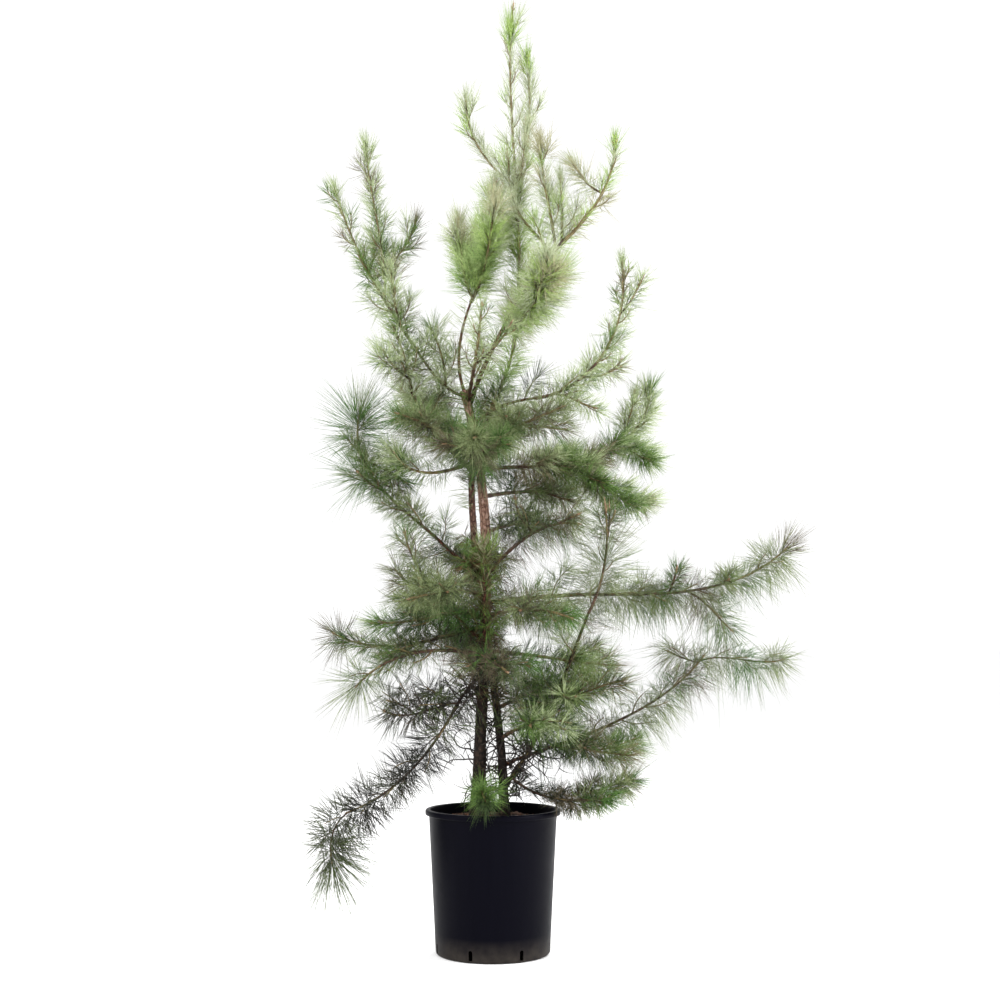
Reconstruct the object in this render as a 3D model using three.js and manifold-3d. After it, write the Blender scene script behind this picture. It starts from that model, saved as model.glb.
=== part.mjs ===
// A young long-needled pine with two stems, standing in a black nursery pot.
// Millimetres, +Z up. The origin is the middle of the pot's flat underside, and
// the plant is seen from the front when looking along +Y, with +X to the right.
//
// Every limb is traced by one rule: it springs from its parent, takes a heading,
// and its rise above level changes smoothly from foot to tip. Masses of needles
// are twigs traced by the same rule, with single needles fused on by a seeded rule.

import * as THREE from "three";
import { mergeVertices } from "three/addons/utils/BufferGeometryUtils.js";
import Module from "manifold-3d";

const wasm = await Module();
wasm.setup();

// ---------------------------------------------------------------- dimensions

const GAP = 0.35; // air between neighbouring solids
const SEED = 20;

const POT = {
  height: 310,
  rimRadius: 148,
  lipHeight: 12,
  lipOverhang: 8,
  baseRadius: 124.5,
  baseRounding: 7,
  wall: 2.6,
  floor: 4,
  slots: 7,
  firstSlot: -112, // plan angle of the slot left of the front
  slotWidth: 9,
  slotHeight: 22,
  segments: 36,
};

const SOIL = {
  belowRim: 26,
  sag: 5, // drop of the surface from the middle to the wall
  flatRadius: 62,
};

const STEP = 48; // length of one straight piece of a limb
const TWIG_STEP = 85;
const GOLDEN_ANGLE = 137.5;
const NEEDLE_PITCH = 34; // shoot length for each needle
const NEEDLE_THICKNESS = 3.6;
const CLEARANCE = 0.8; // kept between a needle or seeded twig and what it isn't fused to
const TWIG_EVERY = 440; // shoot length for each seeded twig

// Needles stand off their shoot by an angle that closes toward the shoot's tip.
const NEEDLES = {
  fresh: { length: 62, spread: [44, 20], droop: 0 },
  green: { length: 84, spread: [58, 30], droop: 0.1 },
  old: { length: 108, spread: [74, 38], droop: 0.25 },
};

// ---------------------------------------------------------------- the plant

// foot: where a stem leaves the potting mix. from, at: the parent, and the
// fraction of its length. heading: plan angle in degrees, 0 toward +X and 90
// toward +Y. rise: degrees above level at foot, middle and tip, and past 90 it
// leans back over. thick: diameters at foot and tip. flare: widening at the foot.
const LIMBS = [
  { name: "trunk", foot: [-32, 0], heading: 0, rise: [90, 89, 106], length: 955,
    thick: [30, 21], flare: 8, sides: 10 },
  { name: "second_stem", foot: [24, 8], heading: 160, rise: [91, 81, 91], length: 780,
    thick: [17, 13], flare: 4, sides: 8 },
  { name: "left_leader", from: "trunk", at: 0.998, heading: 0, rise: [110, 84, 70],
    length: 207, thick: [12, 9] },
  { name: "right_leader", from: "trunk", at: 0.955, heading: -15, rise: [74, 60, 56],
    length: 385, thick: [15, 11] },
  { name: "centre_leader", from: "trunk", at: 0.87, heading: 25, rise: [62, 67, 76],
    length: 240, thick: [11, 9] },
  { name: "upper_left_bough", from: "trunk", at: 0.985, heading: 165, rise: [15, 48, 55],
    length: 165, thick: [11, 8] },
  { name: "companion_bough", from: "second_stem", at: 0.998, heading: 194, rise: [42, 50, 78],
    length: 240, thick: [11, 8] },
  { name: "upper_right_bough", from: "trunk", at: 0.915, heading: -12, rise: [42, 22, 2],
    length: 155, thick: [11, 8] },
  { name: "upright_right_bough", from: "second_stem", at: 0.09, heading: -18,
    rise: [50, 65, 68], length: 430, thick: [11, 7] },
  { name: "long_right_bough", from: "trunk", at: 0.5, heading: 8, rise: [6, 5, 3],
    length: 205, thick: [12, 9] },
  { name: "low_right_bough", from: "second_stem", at: 0.155, heading: 12,
    rise: [18, 18, 16], length: 185, thick: [9, 7] },
  { name: "low_left_bough", from: "trunk", at: 0.335, heading: 185, rise: [-38, -50, -60],
    length: 95, thick: [9, 7] },
  { name: "far_left_bough", from: "trunk", at: 0.557, heading: 172, rise: [28, 40, 42],
    length: 150, thick: [10, 8] },
  { name: "mid_left_bough", from: "trunk", at: 0.405, heading: 200, rise: [38, 44, 50],
    length: 115, thick: [8, 6] },
  { name: "front_shoot", from: "trunk", at: 0.38, heading: -90, rise: [50, 88, 92],
    length: 190, thick: [9, 7] },
];

// clear: the fraction of the stem below the first needles. shoots: side shoots
// that make the mass's own tips, each [at, heading, rise, length].
const MASSES = [
  { name: "centre_leader_needles", from: "centre_leader", at: 0.998, heading: 25,
    rise: [80, 94, 84], length: 795, needles: "fresh",
    shoots: [[0.48, 180, [32, 59, 88], 235], [0.49, 4, [66, 87, 94], 295],
      [0.46, -60, [55, 75, 88], 150], [0.26, 120, [45, 62, 80], 190],
      [0.36, -110, [45, 62, 80], 165], [0.03, 78, [25, 45, 66], 230]] },
  { name: "left_leader_needles", from: "left_leader", at: 0.998, heading: 0,
    rise: [62, 80, 90], length: 275, needles: "fresh",
    shoots: [[0.04, 180, [60, 84, 80], 180], [0.25, -75, [35, 55, 80], 180],
      [0.15, 95, [30, 55, 80], 200]] },
  { name: "right_leader_needles", from: "right_leader", at: 0.998, heading: -10,
    rise: [40, 55, 92], length: 300, needles: "fresh",
    shoots: [[0.03, 170, [60, 50, 75], 150], [0.08, 195, [84, 79, 88], 240],
      [0.14, 60, [85, 92, 95], 135], [0.62, 165, [20, 50, 60], 95]] },
  { name: "right_leader_side_needles", from: "right_leader", at: 0.5, heading: -5,
    rise: [20, 50, 62], length: 190, needles: "green",
    shoots: [[0.4, -70, [30, 45, 70], 140]] },
  { name: "upper_left_needles", from: "upper_left_bough", at: 0.998, heading: 172,
    rise: [56, 62, 74], length: 425, needles: "green",
    shoots: [[0.32, 165, [92, 79, 86], 365], [0.45, 10, [45, 52, 76], 165],
      [0.15, -100, [25, 45, 70], 150], [0.5, 85, [30, 50, 70], 135]] },
  { name: "upper_left_inner_needles", from: "upper_left_bough", at: 0.32, heading: 180,
    rise: [88, 76, 64], length: 135, needles: "green", shoots: [] },
  { name: "upper_front_needles", from: "trunk", at: 0.972, heading: -78,
    rise: [32, 48, 66], length: 250, needles: "green", clear: 0.2,
    shoots: [[0.45, -20, [30, 45, 60], 120]] },
  { name: "companion_needles", from: "companion_bough", at: 0.998, heading: 186,
    rise: [84, 72, 68], length: 135, needles: "green",
    shoots: [[0.1, -130, [20, 30, 50], 100]] },
  { name: "curved_left_needles", from: "trunk", at: 0.83, heading: 192,
    rise: [-16, -6, 62], length: 205, needles: "green", clear: 0.6,
    shoots: [[0.72, 150, [10, 30, 50], 75]] },
  { name: "upper_right_needles", from: "upper_right_bough", at: 0.998, heading: -14,
    rise: [4, 58, 96], length: 395, needles: "green",
    shoots: [[0.72, 0, [40, 60, 70], 85], [0.12, -40, [-10, -25, -15], 120],
      [0.3, 40, [5, 20, 50], 130]] },
  { name: "mid_right_needles", from: "trunk", at: 0.81, heading: 12,
    rise: [8, 16, 90], length: 490, needles: "green", clear: 0.15,
    shoots: [[0.7, -10, [80, 72, 84], 110], [0.7, 5, [-42, -38, -20], 75],
      [0.36, -2, [-6, -34, 14], 225], [0.3, 60, [10, 20, 30], 120]] },
  { name: "rising_right_needles", from: "trunk", at: 0.565, heading: -28,
    rise: [42, 30, -10], length: 255, needles: "old", clear: 0.35,
    shoots: [[0.58, 175, [40, 60, 84], 85], [0.7, -40, [10, 15, 20], 90]] },
  { name: "upright_right_needles", from: "upright_right_bough", at: 0.998, heading: -10,
    rise: [62, 80, 95], length: 225, needles: "old",
    shoots: [[0.72, 60, [60, 80, 90], 70]] },
  { name: "upright_right_low_needles", from: "upright_right_bough", at: 0.5, heading: -30,
    rise: [12, 22, 8], length: 175, needles: "green",
    shoots: [[0.2, -80, [10, 10, 0], 90], [0.1, 200, [5, -10, 0], 85]] },
  { name: "inner_right_needles", from: "trunk", at: 0.387, heading: 10,
    rise: [-2, -8, -4], length: 290, needles: "green", clear: 0.45,
    shoots: [[0.6, 45, [10, 10, 20], 110], [0.62, 5, [-40, -45, -30], 80]] },
  { name: "long_right_needles", from: "long_right_bough", at: 0.998, heading: 6,
    rise: [2, 7, 43], length: 500, needles: "old",
    shoots: [[0.5, 10, [-18, -45, -40], 135], [0.42, -60, [50, 60, 70], 60],
      [0.66, -80, [10, 10, 10], 60], [0.25, 40, [10, 5, 10], 110]] },
  { name: "low_right_needles", from: "low_right_bough", at: 0.998, heading: 5,
    rise: [22, 30, 52], length: 335, needles: "old",
    shoots: [[0.97, 0, [22, -8, 14], 185], [0.96, 175, [10, 20, 25], 70]] },
  { name: "low_right_inner_needles", from: "low_right_bough", at: 0.62, heading: -28,
    rise: [6, -6, 0], length: 190, needles: "green",
    shoots: [[0.5, 20, [0, 5, 10], 110], [0.35, -80, [10, 5, 0], 70]] },
  { name: "foot_right_needles", from: "upright_right_bough", at: 0.07, heading: -24,
    rise: [-40, -6, 10], length: 235, needles: "old", clear: 0.25,
    shoots: [[0.7, 10, [30, 18, 14], 125]] },
  { name: "left_low_needles", from: "trunk", at: 0.378, heading: 192,
    rise: [12, -10, -48], length: 300, needles: "old", clear: 0.12,
    shoots: [[0.45, 165, [0, -15, -20], 90]] },
  { name: "left_mid_needles", from: "trunk", at: 0.443, heading: 171,
    rise: [-12, -8, 28], length: 350, needles: "old", clear: 0.12,
    shoots: [[0.4, 210, [-10, -20, -15], 85]] },
  { name: "left_high_needles", from: "trunk", at: 0.485, heading: 183,
    rise: [-6, -10, 2], length: 250, needles: "green", clear: 0.15,
    shoots: [[0.4, 150, [0, 5, 10], 80]] },
  { name: "low_left_needles", from: "low_left_bough", at: 0.998, heading: 185,
    rise: [-62, -46, -20], length: 330, needles: "old",
    shoots: [[0.99, 182, [-25, -72, -102], 125]] },
  { name: "low_left_inner_needles", from: "low_left_bough", at: 0.9, heading: 174,
    rise: [-4, -16, 26], length: 165, needles: "old",
    shoots: [[0.6, 200, [45, 25, 15], 65], [0.1, 150, [50, 10, -30], 80]] },
  { name: "far_left_needles", from: "far_left_bough", at: 0.998, heading: 175,
    rise: [42, 50, 102], length: 335, needles: "old",
    shoots: [[0.72, 5, [-25, -28, -30], 110], [0.45, 215, [20, 30, 40], 80]] },
  { name: "mid_left_needles", from: "mid_left_bough", at: 0.998, heading: 196,
    rise: [50, 54, 80], length: 190, needles: "old",
    shoots: [[0.35, 175, [-20, 20, 60], 85], [0.2, -120, [20, 20, 30], 80]] },
  { name: "front_shoot_needles", from: "front_shoot", at: 0.998, heading: -90,
    rise: [92, 90, 88], length: 60, needles: "fresh", shoots: [] },
  { name: "front_high_needles", from: "trunk", at: 0.772, heading: -93,
    rise: [30, 20, -5], length: 260, needles: "green", clear: 0.25,
    shoots: [[0.5, -140, [15, 10, 0], 90], [0.5, -45, [15, 10, 0], 90]] },
  { name: "front_left_high_needles", from: "trunk", at: 0.845, heading: -138,
    rise: [25, 18, 8], length: 235, needles: "green", clear: 0.25,
    shoots: [[0.5, 180, [15, 20, 30], 80]] },
  { name: "front_right_high_needles", from: "trunk", at: 0.857, heading: -50,
    rise: [20, 12, 10], length: 290, needles: "green", clear: 0.25,
    shoots: [[0.45, -100, [10, 10, 5], 90], [0.55, 0, [0, -10, 0], 90]] },
  { name: "back_high_needles", from: "trunk", at: 0.82, heading: 84,
    rise: [28, 20, 32], length: 370, needles: "green", clear: 0.25,
    shoots: [[0.5, 130, [15, 20, 30], 100], [0.55, 40, [10, 15, 25], 100]] },
  { name: "back_left_high_needles", from: "trunk", at: 0.895, heading: 140,
    rise: [25, 25, 45], length: 255, needles: "green", clear: 0.25,
    shoots: [[0.5, 95, [20, 30, 50], 100]] },
  { name: "back_right_high_needles", from: "trunk", at: 0.745, heading: 40,
    rise: [14, 5, 16], length: 335, needles: "green", clear: 0.2,
    shoots: [[0.5, 85, [5, 5, 20], 100], [0.5, 5, [-10, -20, -10], 90]] },
  { name: "back_right_mid_needles", from: "trunk", at: 0.66, heading: 62,
    rise: [18, 10, 22], length: 255, needles: "old", clear: 0.2,
    shoots: [[0.5, 15, [0, 0, 10], 90]] },
  { name: "back_mid_needles", from: "trunk", at: 0.53, heading: 98,
    rise: [25, 16, 22], length: 380, needles: "old", clear: 0.2,
    shoots: [[0.5, 140, [10, 10, 20], 100], [0.5, 55, [10, 10, 20], 100]] },
  { name: "front_right_mid_needles", from: "trunk", at: 0.468, heading: -55,
    rise: [8, 0, -15], length: 310, needles: "old", clear: 0.25,
    shoots: [[0.5, -100, [0, 0, -10], 80], [0.5, -10, [0, -10, -10], 80]] },
  { name: "front_left_mid_needles", from: "trunk", at: 0.517, heading: -132,
    rise: [10, -4, -10], length: 240, needles: "old", clear: 0.25,
    shoots: [[0.5, -90, [0, 0, -10], 70]] },
  { name: "back_left_mid_needles", from: "trunk", at: 0.46, heading: 140,
    rise: [15, 8, 22], length: 275, needles: "old", clear: 0.2,
    shoots: [[0.5, 100, [10, 10, 20], 90]] },
  { name: "front_low_needles", from: "trunk", at: 0.355, heading: -72,
    rise: [8, -4, -15], length: 165, needles: "old", clear: 0.25,
    shoots: [[0.4, -130, [0, 0, -10], 80], [0.4, -20, [0, 0, -10], 80]] },
  { name: "back_low_needles", from: "trunk", at: 0.36, heading: 104,
    rise: [15, 10, 16], length: 350, needles: "old", clear: 0.2,
    shoots: [[0.5, 60, [10, 10, 10], 100]] },
  { name: "back_right_low_needles", from: "second_stem", at: 0.31, heading: 52,
    rise: [20, 10, 12], length: 275, needles: "green", clear: 0.2,
    shoots: [[0.5, 95, [10, 10, 10], 100], [0.5, 10, [0, -10, 0], 90]] },
  { name: "front_right_low_needles", from: "second_stem", at: 0.225, heading: -48,
    rise: [30, 12, -6], length: 225, needles: "green", clear: 0.25,
    shoots: [[0.5, -95, [10, 0, -10], 80]] },
  { name: "front_foot_needles", from: "trunk", at: 0.06, heading: -84,
    rise: [30, 6, -14], length: 135, needles: "fresh", clear: 0.45, shoots: [] },
];

// ---------------------------------------------------------------- small tools

const radians = THREE.MathUtils.degToRad;

// Repeatable random numbers from 0 to 1.
function makeRandom(seed) {
  let state = seed >>> 0;
  return () => {
    state = (state + 0x6d2b79f5) >>> 0;
    let mixed = Math.imul(state ^ (state >>> 15), state | 1);
    mixed ^= mixed + Math.imul(mixed ^ (mixed >>> 7), mixed | 61);
    return ((mixed ^ (mixed >>> 14)) >>> 0) / 4294967296;
  };
}

function toSolid(geometry) {
  geometry.deleteAttribute("normal");
  geometry.deleteAttribute("uv");
  const merged = mergeVertices(geometry, 1e-4);
  return new wasm.Manifold(new wasm.Mesh({
    numProp: 3,
    vertProperties: Float32Array.from(merged.attributes.position.array),
    triVerts: Uint32Array.from(merged.index.array),
  }));
}

function toGeometry(solid) {
  const mesh = solid.getMesh();
  const geometry = new THREE.BufferGeometry();
  geometry.setAttribute("position", new THREE.BufferAttribute(mesh.vertProperties, 3));
  geometry.setIndex(new THREE.BufferAttribute(mesh.triVerts, 1));
  geometry.computeVertexNormals();
  return geometry;
}

function headingVector(heading, rise) {
  const level = Math.cos(radians(rise));
  return new THREE.Vector3(
    level * Math.cos(radians(heading)),
    level * Math.sin(radians(heading)),
    Math.sin(radians(rise)),
  );
}

// The quadratic through a value at the foot, the middle and the tip.
function between([foot, middle, tip], t) {
  return foot * (1 - t) * (1 - 2 * t) + 4 * middle * t * (1 - t) + tip * t * (2 * t - 1);
}

// The curve of a limb or twig that starts at a point and follows its rises.
function trace(start, { heading, rise, length }, step) {
  const pieces = Math.max(3, Math.round(length / step));
  const points = [start.clone()];
  for (let i = 0; i < pieces; i += 1) {
    const direction = headingVector(heading, between(rise, (i + 0.5) / pieces));
    points.push(points[i].clone().addScaledVector(direction, length / pieces));
  }
  return makePath(new THREE.CatmullRomCurve3(points), pieces, length);
}

// A path keeps its curve and the joints of its straight pieces.
function makePath(curve, pieces, length) {
  return { curve, pieces, length, joints: curve.getSpacedPoints(pieces) };
}

// The point on a path's straight pieces at a fraction of its length.
function pointAlong({ pieces, joints }, t) {
  const piece = Math.min(Math.floor(t * pieces), pieces - 1);
  return joints[piece].clone().lerp(joints[piece + 1], t * pieces - piece);
}

// ---------------------------------------------------------------- pot and potting mix

function potProfile() {
  const { height, rimRadius, lipHeight, lipOverhang, baseRadius, baseRounding } = POT;
  const shoulder = rimRadius - lipOverhang;
  const round = 2.2; // rounding of the lip's edges
  const profile = [new THREE.Vector2(0, 0)];
  for (let i = 0; i <= 4; i += 1) {
    const angle = radians(-90 + 22.5 * i);
    profile.push(new THREE.Vector2(
      baseRadius - baseRounding + baseRounding * Math.cos(angle),
      baseRounding + baseRounding * Math.sin(angle),
    ));
  }
  profile.push(new THREE.Vector2(shoulder, height - lipHeight));
  profile.push(new THREE.Vector2(rimRadius - round, height - lipHeight));
  profile.push(new THREE.Vector2(rimRadius, height - lipHeight + round));
  profile.push(new THREE.Vector2(rimRadius, height - round));
  profile.push(new THREE.Vector2(rimRadius - round, height));
  profile.push(new THREE.Vector2(shoulder - POT.wall, height));
  profile.push(new THREE.Vector2(shoulder - POT.wall, height - lipHeight));
  profile.push(new THREE.Vector2(innerRadius(POT.floor + 3), POT.floor + 3));
  profile.push(new THREE.Vector2(innerRadius(POT.floor) - 4, POT.floor));
  profile.push(new THREE.Vector2(0, POT.floor));
  return profile;
}

// Radius of the pot's inner wall at a height.
function innerRadius(z) {
  const shoulder = POT.rimRadius - POT.lipOverhang;
  const t = (z - POT.baseRounding) / (POT.height - POT.lipHeight - POT.baseRounding);
  return THREE.MathUtils.lerp(POT.baseRadius, shoulder, Math.min(Math.max(t, 0), 1)) - POT.wall;
}

// A profile turned about the vertical axis.
function turned(profile) {
  return new THREE.LatheGeometry(profile, POT.segments).rotateX(Math.PI / 2);
}

function makePot() {
  let pot = toSolid(turned(potProfile()));
  for (let i = 0; i < POT.slots; i += 1) {
    const slot = new THREE.BoxGeometry(30, POT.slotWidth, POT.slotHeight);
    slot.translate(POT.baseRadius, 0, POT.floor + POT.slotHeight / 2 + 1);
    slot.rotateZ(radians(POT.firstSlot + (360 / POT.slots) * i));
    pot = pot.subtract(toSolid(slot));
  }
  return pot;
}

const soilTop = POT.height - SOIL.belowRim;

function makeSoil() {
  const foot = POT.floor + 3;
  const edge = soilTop - SOIL.sag;
  const profile = [
    new THREE.Vector2(0, POT.floor + GAP),
    new THREE.Vector2(innerRadius(POT.floor) - 4 - GAP, POT.floor + GAP),
    new THREE.Vector2(innerRadius(foot) - GAP, foot + GAP),
    new THREE.Vector2(innerRadius(edge) - GAP, edge),
    new THREE.Vector2(SOIL.flatRadius + 30, soilTop - 1),
    new THREE.Vector2(SOIL.flatRadius, soilTop),
    new THREE.Vector2(0, soilTop),
  ];
  return toSolid(turned(profile));
}

// ---------------------------------------------------------------- limbs

const tracks = new Map(); // name -> its path, radius and solid
const strands = []; // straight pieces of everything placed so far, for clearances

function limbRadius({ thick, flare = 0, length }, t) {
  const flareReach = 45;
  const taper = THREE.MathUtils.lerp(thick[0], thick[1], t) / 2;
  return taper + flare * Math.exp((-t * length) / flareReach);
}

// A cylinder bent along a path, its rings set to the radius at each place. grow
// widens it on all sides, which makes the cutter for a neighbour's seat.
function bent(path, radiusAt, sides, grow = 0) {
  const rings = path.pieces;
  const geometry = new THREE.CylinderGeometry(1, 1, 1, sides, rings);
  const frames = path.curve.computeFrenetFrames(rings);
  const spots = geometry.attributes.position;
  for (let i = 0; i < spots.count; i += 1) {
    const t = spots.getY(i) + 0.5;
    const ring = Math.round(t * rings);
    const radius = radiusAt(t) + grow;
    const point = path.joints[ring].clone();
    point.addScaledVector(frames.normals[ring], spots.getX(i) * radius);
    point.addScaledVector(frames.binormals[ring], -spots.getZ(i) * radius);
    point.addScaledVector(frames.tangents[ring], grow * (2 * t - 1));
    spots.setXYZ(i, point.x, point.y, point.z);
  }
  return toSolid(geometry);
}

function footOf(part) {
  if (part.foot) {
    return new THREE.Vector3(part.foot[0], part.foot[1], soilTop + GAP);
  }
  return pointAlong(tracks.get(part.from).path, part.at);
}

function addStrands(owner, path, radiusAt) {
  for (let i = 0; i < path.pieces; i += 1) {
    strands.push({
      owner,
      a: path.joints[i],
      b: path.joints[i + 1],
      radius: radiusAt(i / path.pieces),
    });
  }
}

function layLimb(limb) {
  const path = trace(footOf(limb), limb, STEP);
  const radiusAt = (t) => limbRadius(limb, t);
  tracks.set(limb.name, { path, radiusAt, sides: limb.sides ?? 6 });
  addStrands(limb.name, path, radiusAt);
}

// Limbs are cut where they spring, so each meets its parent across the gap.
function makeLimb(name, earlier) {
  const { path, radiusAt, sides } = tracks.get(name);
  let solid = bent(path, radiusAt, sides);
  for (const other of earlier) {
    solid = solid.subtract(other);
  }
  return solid;
}

// ---------------------------------------------------------------- masses of needles

const random = makeRandom(SEED);

// Shortest distance between two straight pieces.
function strandDistance(p, q) {
  const d1 = p.b.clone().sub(p.a);
  const d2 = q.b.clone().sub(q.a);
  const r = p.a.clone().sub(q.a);
  const a = d1.dot(d1);
  const e = d2.dot(d2);
  const f = d2.dot(r);
  const c = d1.dot(r);
  const b = d1.dot(d2);
  const denominator = a * e - b * b;
  const clamp = (value) => Math.min(Math.max(value, 0), 1);
  let s = denominator > 1e-9 ? clamp((b * f - c * e) / denominator) : 0;
  let t = (b * s + f) / e;
  if (t < 0 || t > 1) {
    t = clamp(t);
    s = clamp((b * t - c) / a);
  }
  const onP = p.a.clone().addScaledVector(d1, s);
  const onQ = q.a.clone().addScaledVector(d2, t);
  return onP.distanceTo(onQ);
}

// True where a straight piece keeps clear of the pot, the mix and all other owners,
// and a needle also keeps clear of its own mass's needles.
function isClear(piece) {
  for (const spot of [piece.a, piece.b]) {
    const outside = Math.hypot(spot.x, spot.y) > POT.rimRadius + 4;
    const lowest = outside ? 4 : POT.height + 4;
    if (spot.z < lowest) {
      return false;
    }
  }
  return strands.every((other) => {
    const fused = other.owner === piece.owner && !(piece.isNeedle && other.isNeedle);
    return fused || strandDistance(piece, other) > piece.radius + other.radius + CLEARANCE;
  });
}

// A stem is never thicker than the limb it springs from.
function twigRadius(mass, t) {
  const parent = tracks.get(mass.from);
  const foot = Math.min(6.5, 0.85 * parent.radiusAt(mass.at));
  return THREE.MathUtils.lerp(foot, 5.4, t);
}

// The stem and the named side shoots of a mass.
function layMass(mass) {
  const stem = trace(footOf(mass), mass, TWIG_STEP);
  const twigs = [{ path: stem, clear: mass.clear ?? 0.03, scale: 1 }];
  for (const [at, heading, rise, length] of mass.shoots) {
    const path = trace(pointAlong(stem, at), { heading, rise, length }, TWIG_STEP);
    twigs.push({ path, clear: 0.08, scale: 0.9 });
  }
  for (const twig of twigs) {
    addStrands(mass.name, twig.path, (t) => twigRadius(mass, t) * twig.scale);
  }
  return { ...mass, twigs };
}

// Seeded twigs fork off at about 50 degrees, turned round the stem by the golden angle.
function growTwigs(mass) {
  const grown = [];
  for (const { path, clear } of mass.twigs) {
    const count = Math.round((path.length * (1 - clear)) / TWIG_EVERY);
    for (let i = 0; i < count; i += 1) {
      const t = clear + ((1 - clear) * (i + 0.3 + 0.4 * random())) / (count + 0.5);
      const turn = GOLDEN_ANGLE * i + 60 * random();
      const direction = offShoot(path, t, turn, 50);
      const length = 62 * (1 - 0.5 * t);
      const a = pointAlong(path, t);
      const b = a.clone().addScaledVector(direction, length);
      const strand = { owner: mass.name, a, b, radius: 5 };
      if (isClear(strand)) {
        const twig = makePath(new THREE.LineCurve3(a, b), 1, length);
        grown.push({ path: twig, clear: 0.2, scale: 0.85 });
        strands.push(strand);
      }
    }
  }
  mass.twigs.push(...grown);
}

// A direction that leaves a shoot at an angle, turned round the shoot.
function offShoot(path, t, turn, angle) {
  const axis = path.curve.getTangentAt(t);
  const side = new THREE.Vector3(0, 0, 1).cross(axis);
  if (side.lengthSq() < 1e-3) {
    side.set(1, 0, 0);
  }
  side.normalize().applyAxisAngle(axis, radians(turn));
  return axis.multiplyScalar(Math.cos(radians(angle)))
    .addScaledVector(side, Math.sin(radians(angle)))
    .normalize();
}

// Needles along a twig, the last few gathered at its tip. Those that would reach
// another solid are left out.
function growNeedles(mass) {
  const kind = NEEDLES[mass.needles];
  mass.spikes = [];
  for (const { path, clear } of mass.twigs) {
    const count = Math.max(3, Math.round((path.length * (1 - clear)) / NEEDLE_PITCH));
    for (let i = 0; i < count; i += 1) {
      const t = clear + (1 - clear) * Math.min(1, ((i + 0.5) / count) ** 0.85);
      const spread = THREE.MathUtils.lerp(...kind.spread, t) + 14 * (random() - 0.5);
      const turn = GOLDEN_ANGLE * i + 30 * random();
      const direction = offShoot(path, t, turn, spread);
      direction.z -= kind.droop;
      direction.normalize();
      const length = kind.length * (0.82 + 0.3 * random());
      const a = pointAlong(path, Math.min(t, 0.985));
      const b = a.clone().addScaledVector(direction, length);
      const spike = { owner: mass.name, a, b, radius: NEEDLE_THICKNESS / 2, isNeedle: true };
      if (isClear(spike)) {
        mass.spikes.push(spike);
        strands.push(spike);
      }
    }
  }
}

function needleSolid({ a, b }) {
  const length = a.distanceTo(b);
  const cone = new THREE.ConeGeometry(NEEDLE_THICKNESS / 2, length, 3);
  cone.translate(0, length / 2, 0);
  const direction = b.clone().sub(a).normalize();
  const turn = new THREE.Quaternion().setFromUnitVectors(new THREE.Vector3(0, 1, 0), direction);
  cone.applyQuaternion(turn);
  cone.translate(a.x, a.y, a.z);
  return toSolid(cone);
}

function makeMass(mass, cutters) {
  const pieces = mass.twigs.map(({ path, scale }) => (
    bent(path, (t) => twigRadius(mass, t) * scale, 3)
  ));
  pieces.push(...mass.spikes.map(needleSolid));
  let solid = wasm.Manifold.union(pieces);
  for (const cutter of cutters) {
    solid = solid.subtract(cutter);
  }
  return solid;
}

// ---------------------------------------------------------------- the whole object

const LOOKS = {
  pot: { color: 0x17171d, roughness: 0.5 },
  soil: { color: 0x3a2a1e, roughness: 0.95 },
  bark: { color: 0x5d4030, roughness: 0.9 },
  fresh: { color: 0x86a552, roughness: 0.6 },
  green: { color: 0x4e7a38, roughness: 0.6 },
  old: { color: 0x2e4a2a, roughness: 0.65 },
};

const plant = new THREE.Group();

function addMesh(name, solid, look) {
  const material = new THREE.MeshStandardMaterial({ ...LOOKS[look], metalness: 0 });
  const mesh = new THREE.Mesh(toGeometry(solid), material);
  mesh.name = name;
  plant.add(mesh);
}

addMesh("pot", makePot(), "pot");
addMesh("potting_mix", makeSoil(), "soil");

LIMBS.forEach(layLimb);
const cutters = [];
for (const { name } of LIMBS) {
  const { path, radiusAt, sides } = tracks.get(name);
  addMesh(name, makeLimb(name, cutters), "bark");
  cutters.push(bent(path, radiusAt, sides, GAP));
}

const masses = MASSES.map(layMass);
masses.forEach(growTwigs);
masses.forEach(growNeedles);
for (const mass of masses) {
  addMesh(mass.name, makeMass(mass, cutters), mass.needles);
}

export default plant;
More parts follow.
